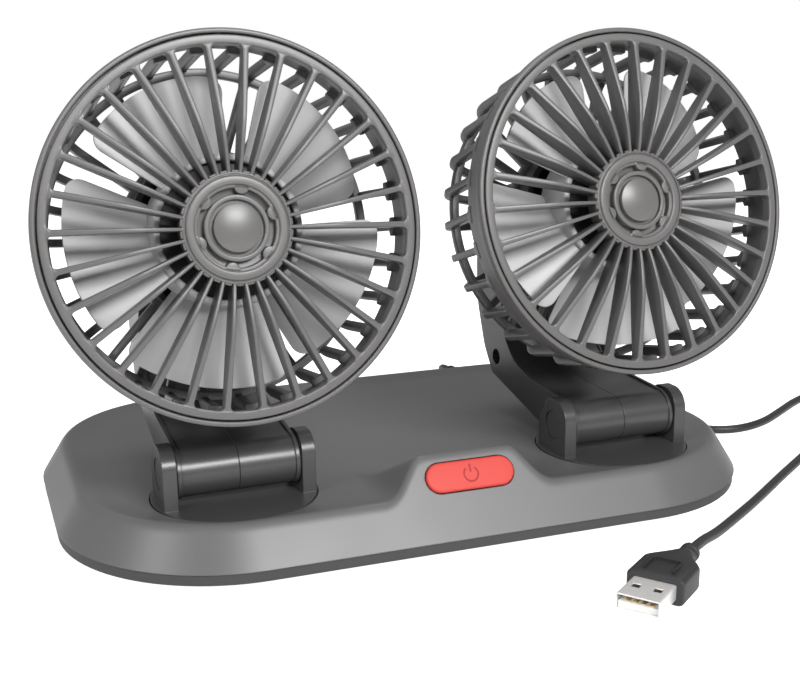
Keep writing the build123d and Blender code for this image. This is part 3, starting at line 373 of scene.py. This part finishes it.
def headFrame(side):
    joint = next(joint for joint in frame["joints"] if joint["name"] == f"{side}_spin")
    axis = Vector(joint["axis"]).normalized()
    right = Vector((-axis.y, axis.x, 0)).normalized()
    turned = Matrix((right, axis.cross(right), axis)).transposed().to_4x4()
    return Matrix.Translation(Vector(joint["pos_m"]) / mm + axis * spinDepth) @ turned


grille = {
    "count": 30,
    "inner": 49.7,
    "outer": 52.1,
    "ringDepth": 2.6,
    "ringEdge": 0.35,
    "ringSteps": 180,
    "hubRadius": 15.2,
    "hubRise": 1.2,
    "hubEdge": 0.3,
    "hubSteps": 120,
    "lipWall": 0.6,          # of the hub's lip round the bezel
    "lipFloor": -0.05,
    "hubWall": 1.8,
    "hubDepth": 4.8,
    "hubFloor": 1.8,
    "stemHole": 3.75,
    "hubWidth": 0.95,
    "ringWidth": 1.75,
    "depthAtRing": 3.5,
    "slotRounding": 1.3,
    "spokeEdge": 0.3,
    "spokeSink": 0.05,
    "spokeOverlap": 0.6,     # into the ring
    "spokeStations": [14.8 + 1.75 * k for k in range(18)],
    "roundingSteps": 7,
    "crest": [(49.7, 0.0), (39.97, 1.5), (30.24, 2.8)],
    "inside": [(30.24, 2.8), (22.7, 2.5), (15.2, 1.2)],
}


def spokeStation(radius):
    g = grille
    share = (radius - g["hubRadius"]) / (g["inner"] - g["hubRadius"])
    inRing = min(radius, g["inner"])
    front = curveThrough(g["crest"] if inRing > g["crest"][2][0] else g["inside"], inRing)
    back = -g["hubDepth"] + (g["hubDepth"] - g["depthAtRing"]) * share
    width = g["hubWidth"] + (g["ringWidth"] - g["hubWidth"]) * min(share, 1)
    near = max(0, g["slotRounding"] - (g["inner"] - inRing))
    flare = g["slotRounding"] - sqrt(g["slotRounding"] ** 2 - near ** 2)
    centre = Vector((radius, 0, (front + back) / 2 - g["spokeSink"]))
    return centre, alongY, alongZ, width / 2 + flare, (front - back) / 2, g["spokeEdge"]


def addGrille(side):
    g = grille
    form = bmesh.new()
    place = headFrame(side)
    ring = roundCorners([(g["inner"], 0, g["ringEdge"]), (g["outer"], 0, g["ringEdge"]),
                         (g["outer"], -g["ringDepth"], 0), (g["inner"], -g["depthAtRing"], 0.2)])
    turn(form, place, ring, g["ringSteps"])
    wall = g["hubRadius"] - g["hubWall"]
    floor = -g["hubDepth"] + g["hubFloor"]
    lip = g["hubRadius"] - g["lipWall"]
    hub = roundCorners([(g["hubRadius"], g["hubRise"], g["hubEdge"]),
                        (g["hubRadius"], -g["hubDepth"], g["hubEdge"]), (g["stemHole"], -g["hubDepth"], 0),
                        (g["stemHole"], floor, 0), (wall, floor, 0), (wall, g["lipFloor"], 0),
                        (lip, g["lipFloor"], 0), (lip, g["hubRise"], 0)])
    turn(form, place, hub, g["hubSteps"])
    flare = [g["inner"] - g["slotRounding"] * (1 - sin(pi / 2 * k / g["roundingSteps"]))
             for k in range(g["roundingSteps"] + 1)]
    ends = [g["inner"] + g["spokeOverlap"]]
    stations = [spokeStation(radius) for radius in g["spokeStations"] + flare + ends]
    for k in range(g["count"]):
        spin = Matrix.Rotation(radians(heads[side]["spokeStart"] + 360 / g["count"] * k), 4, "Z")
        sweepBar(form, place @ spin, stations)
    makePiece(f"{side}Grille", form, f"{side}_head", "grille_grey", [f"{side}_front_grille"])


cage = {
    "ring": 54.0,
    "lip": 1.4,
    "rimDepth": 3.4,
    "band": 52.4,
    "bandWall": 1.8,
    "bandEnd": 12.4,
    "seat": 2.7,
    "depth": 39.5,
    "radius": 51.2,
    "corner": 8.8,
    "ribs": 30,
    "ribWidth": 2.3,
    "ribHeight": 3.4,
    "ribFlare": 1.6,         # rounds the slots off where they meet the band
    "ribEdge": 0.45,
    "bandOverlap": 0.7,      # of a rib, inward from the middle of the band's wall
    "discOverlap": 0.4,
    "flareSteps": 6,
    "cornerSteps": 9,
    "lean": 2.0,
    "disc": 26.0,
    "tieRadius": 47.6,
    "tieSize": 2.6,
    "tieDepth": 33.2,
    "hole": 9.55,
    "tieEdge": 0.5,
    "ringSteps": 180,
    "discSteps": 120,
}


def ribStations():
    c = cage
    half = c["ribHeight"] / 2
    start = Vector((c["band"] - c["bandWall"] / 2 - c["bandOverlap"], -c["bandEnd"] + c["bandWall"]))
    corner = Vector((c["radius"] - half, -c["depth"] + half))
    end = Vector((c["disc"] - c["discOverlap"], -c["depth"] + half))
    path = roundCorners([(*start, 0), (*corner, c["corner"] - half), (*end, 0)], c["cornerSteps"])
    slope = (corner - start) / (corner.y - start.y)
    near = [start + slope * (-c["bandEnd"] - c["ribFlare"] * k / c["flareSteps"] - start.y)
            for k in range(c["flareSteps"] + 1)]
    path = path[:1] + near + path[1:]
    pivot = Vector((c["band"], 0, -c["bandEnd"]))
    lean = Matrix.Rotation(radians(c["lean"]), 3, "X")
    stations = []
    for k, spot in enumerate(path):
        away = min(max(-c["bandEnd"] - spot.y, 0), c["ribFlare"])
        flare = c["ribFlare"] - sqrt(c["ribFlare"] ** 2 - (c["ribFlare"] - away) ** 2)
        ahead = path[min(k + 1, len(path) - 1)] - path[max(k - 1, 0)]
        outward = Vector((-ahead.y, 0, ahead.x)).normalized()
        centre = lean @ (Vector((spot.x, 0, spot.y)) - pivot) + pivot
        halfWidth = c["ribWidth"] / 2 + flare
        stations.append((centre, lean @ alongY, lean @ outward, halfWidth, half, c["ribEdge"]))
    return stations


def addCage(side):
    c = cage
    form = bmesh.new()
    place = headFrame(side)
    inside = c["ring"] - c["lip"]
    band = c["band"] - c["bandWall"]
    rim = roundCorners([(c["ring"], 0, 0.6), (c["ring"], -c["rimDepth"], 0.5), (c["band"], -c["rimDepth"], 0),
                        (c["band"], -c["bandEnd"], 0.5), (band, -c["bandEnd"], 0.3), (band, -c["seat"], 0),
                        (inside, -c["seat"], 0), (inside, 0, 0.4)])
    turn(form, place, rim, c["ringSteps"])
    half = c["tieSize"] / 2
    tie = roundCorners([(c["tieRadius"] + across * half, -c["tieDepth"] + above * half, c["tieEdge"])
                        for across, above in ((1, 1), (1, -1), (-1, -1), (-1, 1))])
    turn(form, place, tie, c["ringSteps"])
    back = -c["depth"]
    disc = roundCorners([(c["hole"], back + c["ribHeight"], 0), (c["disc"], back + c["ribHeight"], 0.4),
                         (c["disc"], back, 0.6), (c["hole"], back, 0)])
    turn(form, place, disc, c["discSteps"])
    stations = ribStations()
    for k in range(c["ribs"]):
        spin = Matrix.Rotation(radians(heads[side]["spokeStart"] + 360 / c["ribs"] * k), 4, "Z")
        sweepBar(form, place @ spin, stations)
    makePiece(f"{side}Cage", form, f"{side}_head", "grille_grey", [f"{side}_rear_cage"])


bezel = {
    "flange": 15.7,
    "flangeHeight": 0.9,
    "notches": 30,
    "notchShare": 0.41,      # of a notch's pitch
    "notchDepth": 0.9,
    "radius": 14.2,
    "lip": 11.8,
    "proud": 1.5,
    "recess": 2.9,
    "floor": 1.6,
    "inner": 13.25,
    "lugs": 6,
    "lugRadius": 2.1,
    "lugRing": 11.4,
    "lugDrop": 0.7,
    "lugStart": 19.0,
    "ledge": 10.9,
    "overGrille": 0.02,      # from the ring's plane to the flange's underside
    "stemGap": 0.15,
    "flangeEdge": 0.2,
    "flangeOverlap": 0.4,
    "lugSink": 0.3,
    "lugEdge": 0.3,
    "lugSteps": 32,
}
cap = {
    "radius": 9.1,
    "groove": 7.7,
    "dome": 6.6,
    "proud": 0.9,
    "grooveDepth": 1.2,
    "domeEdge": 0.3,
    "domeRise": 1.2,
    "stem": 3.6,
    "lipEdge": 0.35,
    "domeSteps": 12,
    "steps": 96,
}


def addHub(side):
    b = bezel
    form = bmesh.new()
    place = headFrame(side)
    seat = b["proud"] - b["recess"]
    low = seat - b["floor"]
    ledge = b["proud"] - b["lugDrop"]
    hole = cap["stem"] + b["stemGap"]
    outline = roundCorners([(hole, low, 0), (b["inner"], low, 0), (b["inner"], b["overGrille"], 0),
                            (b["radius"], b["overGrille"], 0), (b["radius"], b["proud"], 0.5),
                            (b["lip"], b["proud"], 0.4), (b["lip"], ledge, 0), (b["ledge"], ledge, 0.2),
                            (b["ledge"], seat, 0.3), (hole, seat, 0)])
    turn(form, place, outline)
    full = b["flange"]
    notched = full - b["notchDepth"]
    tooth = 1 - b["notchShare"]
    edge = []
    for k in range(b["notches"]):
        for share, radius in ((0, full), (0.2, full), (0.4, full), (tooth, full), (tooth, notched),
                              (0.999, notched)):
            edge.append((radius, 2 * pi * (k + share) / b["notches"]))
    within = [(b["radius"] - b["flangeOverlap"], angle) for radius, angle in edge]
    eased = [(radius - b["flangeEdge"], angle) for radius, angle in edge]
    top = b["flangeHeight"]
    loft(form, [[form.verts.new(place @ Vector((r * cos(a), r * sin(a), height))) for r, a in spots]
                for spots, height in ((within, 0), (edge, 0), (edge, top - b["flangeEdge"]), (eased, top),
                                      (within, top))], False)
    for k in range(b["lugs"]):
        angle = radians(b["lugStart"] + 360 / b["lugs"] * k)
        spot = place @ Matrix.Translation((b["lugRing"] * cos(angle), b["lugRing"] * sin(angle), 0))
        foot = seat - b["lugSink"]
        lug = roundCorners([(0, ledge, 0), (0, foot, 0), (b["lugRadius"], foot, 0),
                            (b["lugRadius"], ledge, b["lugEdge"])])
        turn(form, spot, lug, b["lugSteps"])
    makePiece(f"{side}Bezel", form, f"{side}_head", "hub_grey", [f"{side}_hub_bezel"])

    c = cap
    form = bmesh.new()
    top = c["proud"] + c["domeRise"]
    edgeHeight = c["proud"] + c["domeEdge"]
    groove = c["proud"] - c["grooveDepth"]
    outline = [(0, top)]
    for k in range(1, c["domeSteps"] + 1):
        share = k / c["domeSteps"]
        outline.append((c["dome"] * share, edgeHeight + (top - edgeHeight) * (1 - share ** 2)))
    outline += [(c["dome"], groove), (c["groove"], groove)]
    lip = [(c["groove"], groove, 0), (c["groove"], c["proud"], c["lipEdge"]),
           (c["radius"], c["proud"], c["lipEdge"]), (c["radius"], seat, 0)]
    outline += [tuple(spot) for spot in roundCorners(lip)]
    outline += [(c["stem"], seat), (c["stem"], -grille["hubDepth"]), (0, -grille["hubDepth"])]
    turn(form, place, outline, c["steps"])
    makePiece(f"{side}Cap", form, f"{side}_head", "hub_grey", [f"{side}_hub_cap"])


wheel = {
    "blades": 5,
    "tip": 44.3,
    "span": 62.0,
    "corner": 4.5,
    "front": -9.5,
    "back": -23.5,
    "camber": 2.4,
    "thickness": 1.3,
    "hub": 21.3,
    "hubWall": 2.0,
    "hubFront": -8.3,
    "hubBack": -24.4,
    "bladeOverlap": 1.0,     # into the hub
    "edgeShare": 0.35,       # of the thickness, left at a blade's two edges
    "acrossSteps": 20,
    "outwardSteps": 16,
    "slopeStep": 0.02,
}


def bladeSpot(radius, across):
    # across runs from -1, the back edge, to 1, the front edge
    w = wheel
    half = radians(w["span"] / 2)
    past = max(0, radius - (w["tip"] - w["corner"]))
    half -= (w["corner"] - sqrt(w["corner"] ** 2 - past ** 2)) / radius
    angle = half * across
    wide = angle / radians(w["span"] / 2)
    middle = (w["front"] + w["back"]) / 2
    height = middle + (w["front"] - w["back"]) / 2 * wide + w["camber"] * (1 - wide ** 2)
    return Vector((radius * cos(angle), radius * sin(angle), height))


def addBlade(form, place):
    w = wheel
    start = w["hub"] - w["bladeOverlap"]
    radii = [start + (w["tip"] - start) * sin(pi / 2 * k / w["outwardSteps"])
             for k in range(w["outwardSteps"] + 1)]
    step = w["slopeStep"]
    sides = []
    for face in (1, -1):
        grid = []
        for radius in radii:
            row = []
            for j in range(w["acrossSteps"] + 1):
                across = -1 + 2 * j / w["acrossSteps"]
                spot = bladeSpot(radius, across)
                slope = bladeSpot(radius, min(1, across + step)) - bladeSpot(radius, max(-1, across - step))
                normal = alongX.cross(slope).normalized()
                full = w["edgeShare"] + (1 - w["edgeShare"]) * sqrt(max(0, 1 - across ** 4))
                row.append(form.verts.new(place @ (spot + normal * w["thickness"] / 2 * full * face)))
            grid.append(row)
        sides.append(grid)
    for grid in sides:
        for near, far in zip(grid, grid[1:]):
            for j in range(1, len(near)):
                form.faces.new((near[j - 1], near[j], far[j], far[j - 1]))
    rims = [grid[0] + [row[-1] for row in grid[1:]] + grid[-1][-2::-1] + [row[0] for row in grid[-2:0:-1]]
            for grid in sides]
    loft(form, rims, False)


def addWheel(side):
    w = wheel
    form = bmesh.new()
    place = headFrame(side) @ Matrix.Rotation(radians(heads[side]["bladeStart"]), 4, "Z")
    inner = w["hub"] - w["hubWall"]
    hub = roundCorners([(w["hub"], w["hubFront"], 0.9), (w["hub"], w["hubBack"], 0.4),
                        (inner, w["hubBack"], 0), (inner, w["hubFront"], 0.5)])
    turn(form, place, hub)
    for k in range(w["blades"]):
        addBlade(form, place @ Matrix.Rotation(2 * pi * k / w["blades"], 4, "Z"))
    makePiece(f"{side}Wheel", form, f"{side}_rotor", "blade_white", [f"{side}_rotor"])


for side in heads:
    addGrille(side)
    addCage(side)
    addHub(side)
    addWheel(side)
    print(side, "head made")


# Base: wall, ridge, tray and console are one moulding
base = {
    "halfLength": 114.5,
    "halfDepth": 75.2,
    "corner": 52.5,
    "foot": 3.8,
    "lean": 31.9,            # degrees from the vertical
    "ridge": 15.8,
    "ridgeInner": 15.5,      # from the outline to the foot of the ridge's inner slope
    "tray": 14.6,
    "wall": 2.2,
    "consoleX": 1.9,
    "consoleTop": 27.4,
    "topHalf": 14.8,
    "footHalf": 25.6,
    "footHeight": 14.0,
    "backStart": 26.5,
    "backEnd": 32.7,         # from the outline to the foot of the console's back slope
    "ridgeSoft": 2.9,        # the soft values round an edge off: larger is rounder
    "innerSoft": 0.4,
    "topSoft": 3.2,
    "edgeSoft": 2.4,
    "footSoft": 4.6,
    "wellX": 63.9,
    "wellY": -40.6,
    "wellRadius": 25.0,
    "wellFloor": 11.9,
    "wellWall": 2.0,
    "axleBore": 8.06,
    "buttonHeight": 19.9,
    "buttonSlot": (28.8, 9.6),
    "glandX": 60.0,
    "glandHeight": 8.1,
    "glandBore": 3.75,
    "consoleWall": 3.0,
    "wellOverlap": 0.3,      # between a well's wall and the tray's top
    "wellCut": 8,            # above the tray
    "buttonCut": (-8, 6),    # along the button's frame
    "glandCut": (-6, 30),    # along the gland, inward
    "sharpAngle": 34,
    # insets of the rings of vertices from the outline, over the moulding and in its hollow
    "above": [0, 1.5, 3.0, 4.4] + [5.2 + 0.4 * k for k in range(28)] + [17 + k for k in range(27)],
    "below": [43, 38, 34, 30, 26, 22, 19, 17, 15.5, 14, 12, 10, 8.5, 7, 5],
    "cornerSteps": 40,
    "sideSteps": 16,
    "backSteps": 20,
}


def softMin(a, b, soft):
    share = max(soft - abs(a - b), 0) / soft
    return min(a, b) - share * share * soft / 4


def softMax(a, b, soft):
    return -softMin(-a, -b, soft)


def consoleHeight(x, inset):
    b = base
    crest = (b["consoleTop"] - b["foot"]) * tan(radians(b["lean"]))
    fall = (b["backStart"] - b["tray"]) / (b["backEnd"] - crest)
    rise = (b["consoleTop"] - b["footHeight"]) / (b["footHalf"] - b["topHalf"])
    flank = b["footHeight"] + (b["footHalf"] - abs(x - b["consoleX"])) * rise
    slope = b["backStart"] - (inset - crest) * fall
    return softMin(softMin(b["consoleTop"], flank, b["topSoft"]), slope, b["edgeSoft"])


def housingHeight(x, inset, atFront, under):
    b = base
    run = tan(radians(b["lean"]))
    if under:
        wall = b["foot"] + (inset - b["wall"] / cos(radians(b["lean"]))) / run
        top = b["tray"] - b["wall"]
        if atFront:
            top = max(top, consoleHeight(x, inset) - b["consoleWall"])
        return min(wall, top)
    ridgeInset = (b["ridge"] - b["foot"]) * run
    back = b["ridge"] - (inset - ridgeInset) * (b["ridge"] - b["tray"]) / (b["ridgeInner"] - ridgeInset)
    top = softMax(back, b["tray"], b["innerSoft"])
    if atFront:
        top = softMax(top, consoleHeight(x, inset), b["footSoft"])
    return softMin(b["foot"] + inset / run, top, b["ridgeSoft"])


def outlineStations():
    # places on the base's outline, each with its outward direction, anticlockwise from the front left
    b = base
    x = b["halfLength"] - b["corner"]
    y = b["halfDepth"] - b["corner"]
    stations = [(Vector((-x + k, -b["halfDepth"], 0)), Vector((0, -1, 0))) for k in range(int(2 * x))]
    corners = ((x, -y, b["sideSteps"]), (x, y, b["backSteps"]), (-x, y, b["sideSteps"]), (-x, -y, 0))
    for k, (cornerX, cornerY, steps) in enumerate(corners):
        for j in range(b["cornerSteps"]):
            angle = radians(-90 + 90 * (k + j / b["cornerSteps"]))
            outward = Vector((cos(angle), sin(angle), 0))
            stations.append((Vector((cornerX, cornerY, 0)) + outward * b["corner"], outward))
        if steps:
            end = radians(90 * k)
            outward = Vector((cos(end), sin(end), 0))
            start = Vector((cornerX, cornerY, 0)) + outward * b["corner"]
            along = Vector((-outward.y, outward.x, 0)) * (2 * x if k == 1 else 2 * y)
            stations += [(start + along * (j / steps), outward) for j in range(steps)]
    return stations


def carve(piece, form, operation):
    cutter = objectOf(form, "cutter")
    modifier = piece.modifiers.new("carve", "BOOLEAN")
    modifier.operation = operation
    modifier.solver = "EXACT"
    modifier.object = cutter
    bpy.context.view_layer.update()
    mesh = bpy.data.meshes.new_from_object(piece.evaluated_get(bpy.context.evaluated_depsgraph_get()))
    piece.modifiers.clear()
    piece.data = mesh
    bpy.data.objects.remove(cutter)


def addPrism(form, place, outline, low, high):
    lower = [form.verts.new(place @ Vector((x, y, low))) for x, y in outline]
    upper = [form.verts.new(place @ Vector((x, y, high))) for x, y in outline]
    loft(form, [lower, upper])


def circle(radius, steps=96):
    return [(radius * cos(2 * pi * k / steps), radius * sin(2 * pi * k / steps)) for k in range(steps)]


def stadium(length, width, steps=16):
    reach = (length - width) / 2
    half = width / 2
    right = [(reach + half * sin(pi * k / steps), -half * cos(pi * k / steps)) for k in range(steps + 1)]
    return right + [(-x, -y) for x, y in right]


def wallFrame():
    # the button's frame: X to the right, Y up the wall, Z out of it
    b = base
    lean = radians(b["lean"])
    y = -b["halfDepth"] + (b["buttonHeight"] - b["foot"]) * tan(lean)
    out = Vector((0, -cos(lean), sin(lean)))
    turned = Matrix((alongX, out.cross(alongX), out)).transposed().to_4x4()
    return Matrix.Translation((b["consoleX"], y, b["buttonHeight"])) @ turned


def addHousing():
    b = base
    form = bmesh.new()
    stations = outlineStations()
    skin = b["wall"] / cos(radians(b["lean"]))
    rings = []
    for under, insets in ((True, b["below"] + [skin]), (False, b["above"])):
        for inset in insets:
            ring = []
            for spot, outward in stations:
                atFront = outward.y < -0.999
                height = housingHeight(spot.x, inset, atFront, under)
                ring.append(form.verts.new(spot - outward * inset + Vector((0, 0, height))))
            rings.append(ring)
    loft(form, rings)
    housing = makePiece("baseHousing", form, "base", "housing_grey", ["base_shell", "base_console"])
    added = bmesh.new()
    cut = bmesh.new()
    for side in (-1, 1):
        spot = Matrix.Translation((side * b["wellX"], b["wellY"], 0))
        floor = b["wellFloor"] - b["wellWall"]
        addPrism(added, spot, circle(b["wellRadius"] + b["wellWall"]), floor, b["tray"] - b["wellOverlap"])
        addPrism(cut, spot, circle(b["wellRadius"], steps=128), b["wellFloor"], b["tray"] + b["wellCut"])
        addPrism(cut, spot, circle(b["axleBore"], steps=64), floor - 1, b["wellFloor"] + 1)
    addPrism(cut, wallFrame(), stadium(*b["buttonSlot"]), *b["buttonCut"])
    rear = Matrix.Translation((b["glandX"], b["halfDepth"], b["glandHeight"]))
    inward = rear @ Matrix.Rotation(pi / 2, 4, "X")
    addPrism(cut, inward, circle(b["glandBore"], steps=48), *b["glandCut"])
    carve(housing, added, "UNION")
    carve(housing, cut, "DIFFERENCE")
    smooth(housing, b["sharpAngle"])


addHousing()
print("base made")


button = {
    "length": 28.2,
    "width": 9.0,
    "proud": 0.9,
    "rounding": 0.7,
    "crown": 0.1,
    "crownSpots": [(2.2, 0.7), (4.2, 1.0)],      # inset from the edge, and share of the crown there
    "roundingSteps": 6,
    "flange": 0.6,
    "flangeDepths": (-3.3, -2.3),
    "stem": 2.0,
    "stemDepth": -6.1,
    "stemOverlap": 0.4,
    "markRadius": 2.25,
    "markWidth": 0.5,
    "markGap": 38,           # degrees to each side of the bar
    "markBar": (0.6, 3.0),
    "markProud": 0.05,
    "markSink": 0.3,
    "markSteps": 40,
    "markColour": (0.42, 0.035, 0.03),
}


def addButton():
    b = button
    form = bmesh.new()
    place = wallFrame()
    low, high = b["flangeDepths"]
    layers = [(-b["flange"], low), (-b["flange"], high), (0, high), (0, b["proud"] - b["rounding"])]
    for k in range(1, b["roundingSteps"] + 1):
        angle = pi / 2 * k / b["roundingSteps"]
        layers.append((b["rounding"] * (1 - cos(angle)), b["proud"] - b["rounding"] * (1 - sin(angle))))
    layers += [(inset, b["proud"] + b["crown"] * share) for inset, share in b["crownSpots"]]
    loft(form, [[form.verts.new(place @ Vector((x, y, height)))
                 for x, y in stadium(b["length"] - 2 * inset, b["width"] - 2 * inset)]
                for inset, height in layers])
    addPrism(form, place, circle(b["stem"], steps=32), b["stemDepth"], low + b["stemOverlap"])
    makePiece("button", form, "power_button", "button_red", ["power_button"])

    form = bmesh.new()
    gap = radians(b["markGap"])
    inner = b["markRadius"] - b["markWidth"] / 2
    outer = b["markRadius"] + b["markWidth"] / 2
    turns = [pi / 2 + gap + (2 * pi - 2 * gap) * k / b["markSteps"] for k in range(b["markSteps"] + 1)]
    arc = [(radius * cos(angle), radius * sin(angle))
           for radius, angles in ((outer, turns), (inner, turns[::-1])) for angle in angles]
    half = b["markWidth"] / 2
    start, end = b["markBar"]
    bar = [(-half, start), (half, start), (half, end), (-half, end)]
    for outline in (arc, bar):
        addPrism(form, place, outline, b["proud"] - b["markSink"], b["proud"] + b["crown"] + b["markProud"])
    mark = makePiece("powerMark", form, "power_button", "button_red", [])
    mark.data.materials.clear()
    mark.data.materials.append(moulded("button mark", {**finishes["button_red"], "colour": b["markColour"]}))


addButton()
print("button made")


plug = {
    "tip": (19.9, -130.7, 3.9),
    "heading": 37.0,
    # distance from the shell's tip, half width, half height, rounding
    "body": [(12.0, 7.55, 3.25, 1.1), (12.35, 7.95, 3.65, 1.4), (12.8, 8.1, 3.8, 1.6), (23.6, 8.1, 3.8, 1.6),
             (24.5, 8.0, 3.8, 1.6), (25.6, 7.35, 3.78, 1.6), (27.2, 6.25, 3.7, 1.6), (29.0, 5.2, 3.55, 1.7),
             (31.0, 4.25, 3.3, 1.8), (33.0, 3.55, 3.0, 1.9), (34.3, 3.2, 2.8, 2.0)],
    # distance from the tip and radius of the ribbed relief
    "relief": [(33.9, 0), (33.9, 2.55), (34.7, 2.45), (34.9, 2.1), (35.5, 2.1), (35.7, 2.6), (36.0, 2.85),
               (37.0, 2.85), (37.3, 2.6), (37.5, 2.1), (38.2, 2.1), (38.4, 2.6), (38.7, 2.85), (39.9, 2.85),
               (40.4, 2.6), (40.9, 2.2), (41.0, 1.9), (41.0, 0)],
    "bodySteps": 6,
    "reliefSteps": 48,
    "sharpAngle": 30,
    # the line round the panel on top
    "panel": {"near": 14.6, "far": 22.0, "half": 4.2, "top": 3.8, "line": 0.4, "depth": 0.3, "rounding": 1.0},
}


def addPlug():
    p = plug
    heading = Matrix.Rotation(radians(p["heading"]), 4, "Z")
    place = Matrix.Translation(p["tip"]) @ heading
    form = bmesh.new()
    sweepBar(form, place, [(alongX * x, alongY, alongZ, *sizes) for x, *sizes in p["body"]], p["bodySteps"])
    lying = place @ Matrix.Rotation(pi / 2, 4, "Y")
    turn(form, lying, [(r, x) for x, r in p["relief"]], p["reliefSteps"])
    body = makePiece("plugBody", form, "base", "plug_black", ["plug_body"], p["sharpAngle"])
    panel = p["panel"]
    near, far, half = panel["near"], panel["far"], panel["half"]
    outer = roundCorners([(near, -half, 0), (far, -half, panel["rounding"]), (far, half, panel["rounding"]),
                          (near, half, 0)])
    far -= panel["line"]
    half -= panel["line"]
    inner = roundCorners([(near, half, 0), (far, half, panel["rounding"] / 2),
                          (far, -half, panel["rounding"] / 2), (near, -half, 0)])
    cut = bmesh.new()
    addPrism(cut, place, outer + inner, panel["top"] - panel["depth"], panel["top"] + 1)
    carve(body, cut, "DIFFERENCE")
    smooth(body, p["sharpAngle"])


addPlug()
print("plug made")


# Floor, lamps and world
room = {
    "floorSize": 12.0,
    "floorColour": (0.9, 0.9, 0.9),
    "floorRoughness": 0.9,
    "floorSpecular": 0.1,
    "floorLift": 0.86,      # added for the camera and, in part, in reflections
    "floorInGloss": 0.5,
    "worldStrength": 0.16,
    "worldInGloss": 0.2,
    "light": (1, 1, 1, 1),
    "lampAim": (0, 0, 0.05),
}
lamps = {
    "front": {"place": (0.22, -1.05, 0.72), "width": 0.5, "height": 0.3, "power": 14.0},
    "left": {"place": (-1.0, -0.5, 0.6), "width": 0.4, "height": 0.4, "power": 5.0},
    "top": {"place": (0.1, 0.3, 0.95), "width": 1.0, "height": 0.4, "power": 4.0},
}


def mathNode(nodes, links, operation, first, second):
    # first is a socket, second a socket or a number
    node = nodes.new("ShaderNodeMath")
    node.operation = operation
    links.new(first, node.inputs[0])
    if isinstance(second, float):
        node.inputs[1].default_value = second
    else:
        links.new(second, node.inputs[1])
    return node.outputs[0]


def seenDirectly(nodes, links, strength, inGloss):
    # the given strength for camera and transmission rays, a share of it for glossy ones, none for the rest
    path = nodes.new("ShaderNodeLightPath")
    gloss = mathNode(nodes, links, "MULTIPLY", path.outputs["Is Glossy Ray"], inGloss)
    most = mathNode(nodes, links, "MAXIMUM", path.outputs["Is Camera Ray"], gloss)
    seen = mathNode(nodes, links, "MAXIMUM", most, path.outputs["Is Transmission Ray"])
    return mathNode(nodes, links, "MULTIPLY", seen, strength)


def addRoom():
    half = room["floorSize"] / 2
    mesh = bpy.data.meshes.new("floor")
    corners = [(-half, -half, 0), (half, -half, 0), (half, half, 0), (-half, half, 0)]
    mesh.from_pydata(corners, [], [(0, 1, 2, 3)])
    floor = addObject("floor", mesh)
    material, nodes, links, shader = newMaterial("pale floor")
    shader.inputs["Base Color"].default_value = (*room["floorColour"], 1)
    shader.inputs["Roughness"].default_value = room["floorRoughness"]
    shader.inputs["Specular IOR Level"].default_value = room["floorSpecular"]
    shader.inputs["Emission Color"].default_value = room["light"]
    lifted = seenDirectly(nodes, links, room["floorLift"], room["floorInGloss"])
    links.new(lifted, shader.inputs["Emission Strength"])
    mesh.materials.append(material)
    world = bpy.data.worlds.new("studio")
    bpy.context.scene.world = world
    world.use_nodes = True
    nodes = world.node_tree.nodes
    links = world.node_tree.links
    background = nodes["Background"]
    background.inputs["Color"].default_value = room["light"]
    direct = seenDirectly(nodes, links, 1 - room["worldStrength"], room["worldInGloss"])
    lift = mathNode(nodes, links, "ADD", direct, room["worldStrength"])
    links.new(lift, background.inputs["Strength"])
    for name, lamp in lamps.items():
        data = bpy.data.lights.new(name, "AREA")
        data.shape = "RECTANGLE"
        data.size = lamp["width"]
        data.size_y = lamp["height"]
        data.energy = lamp["power"]
        light = addObject(name, data)
        light.location = lamp["place"]
        toward = Vector(room["lampAim"]) - light.location
        light.rotation_euler = toward.to_track_quat("-Z", "Y").to_euler()
    bpy.context.scene.view_settings.view_transform = "Standard"


addRoom()
print("room lit")

bpy.context.view_layer.update()
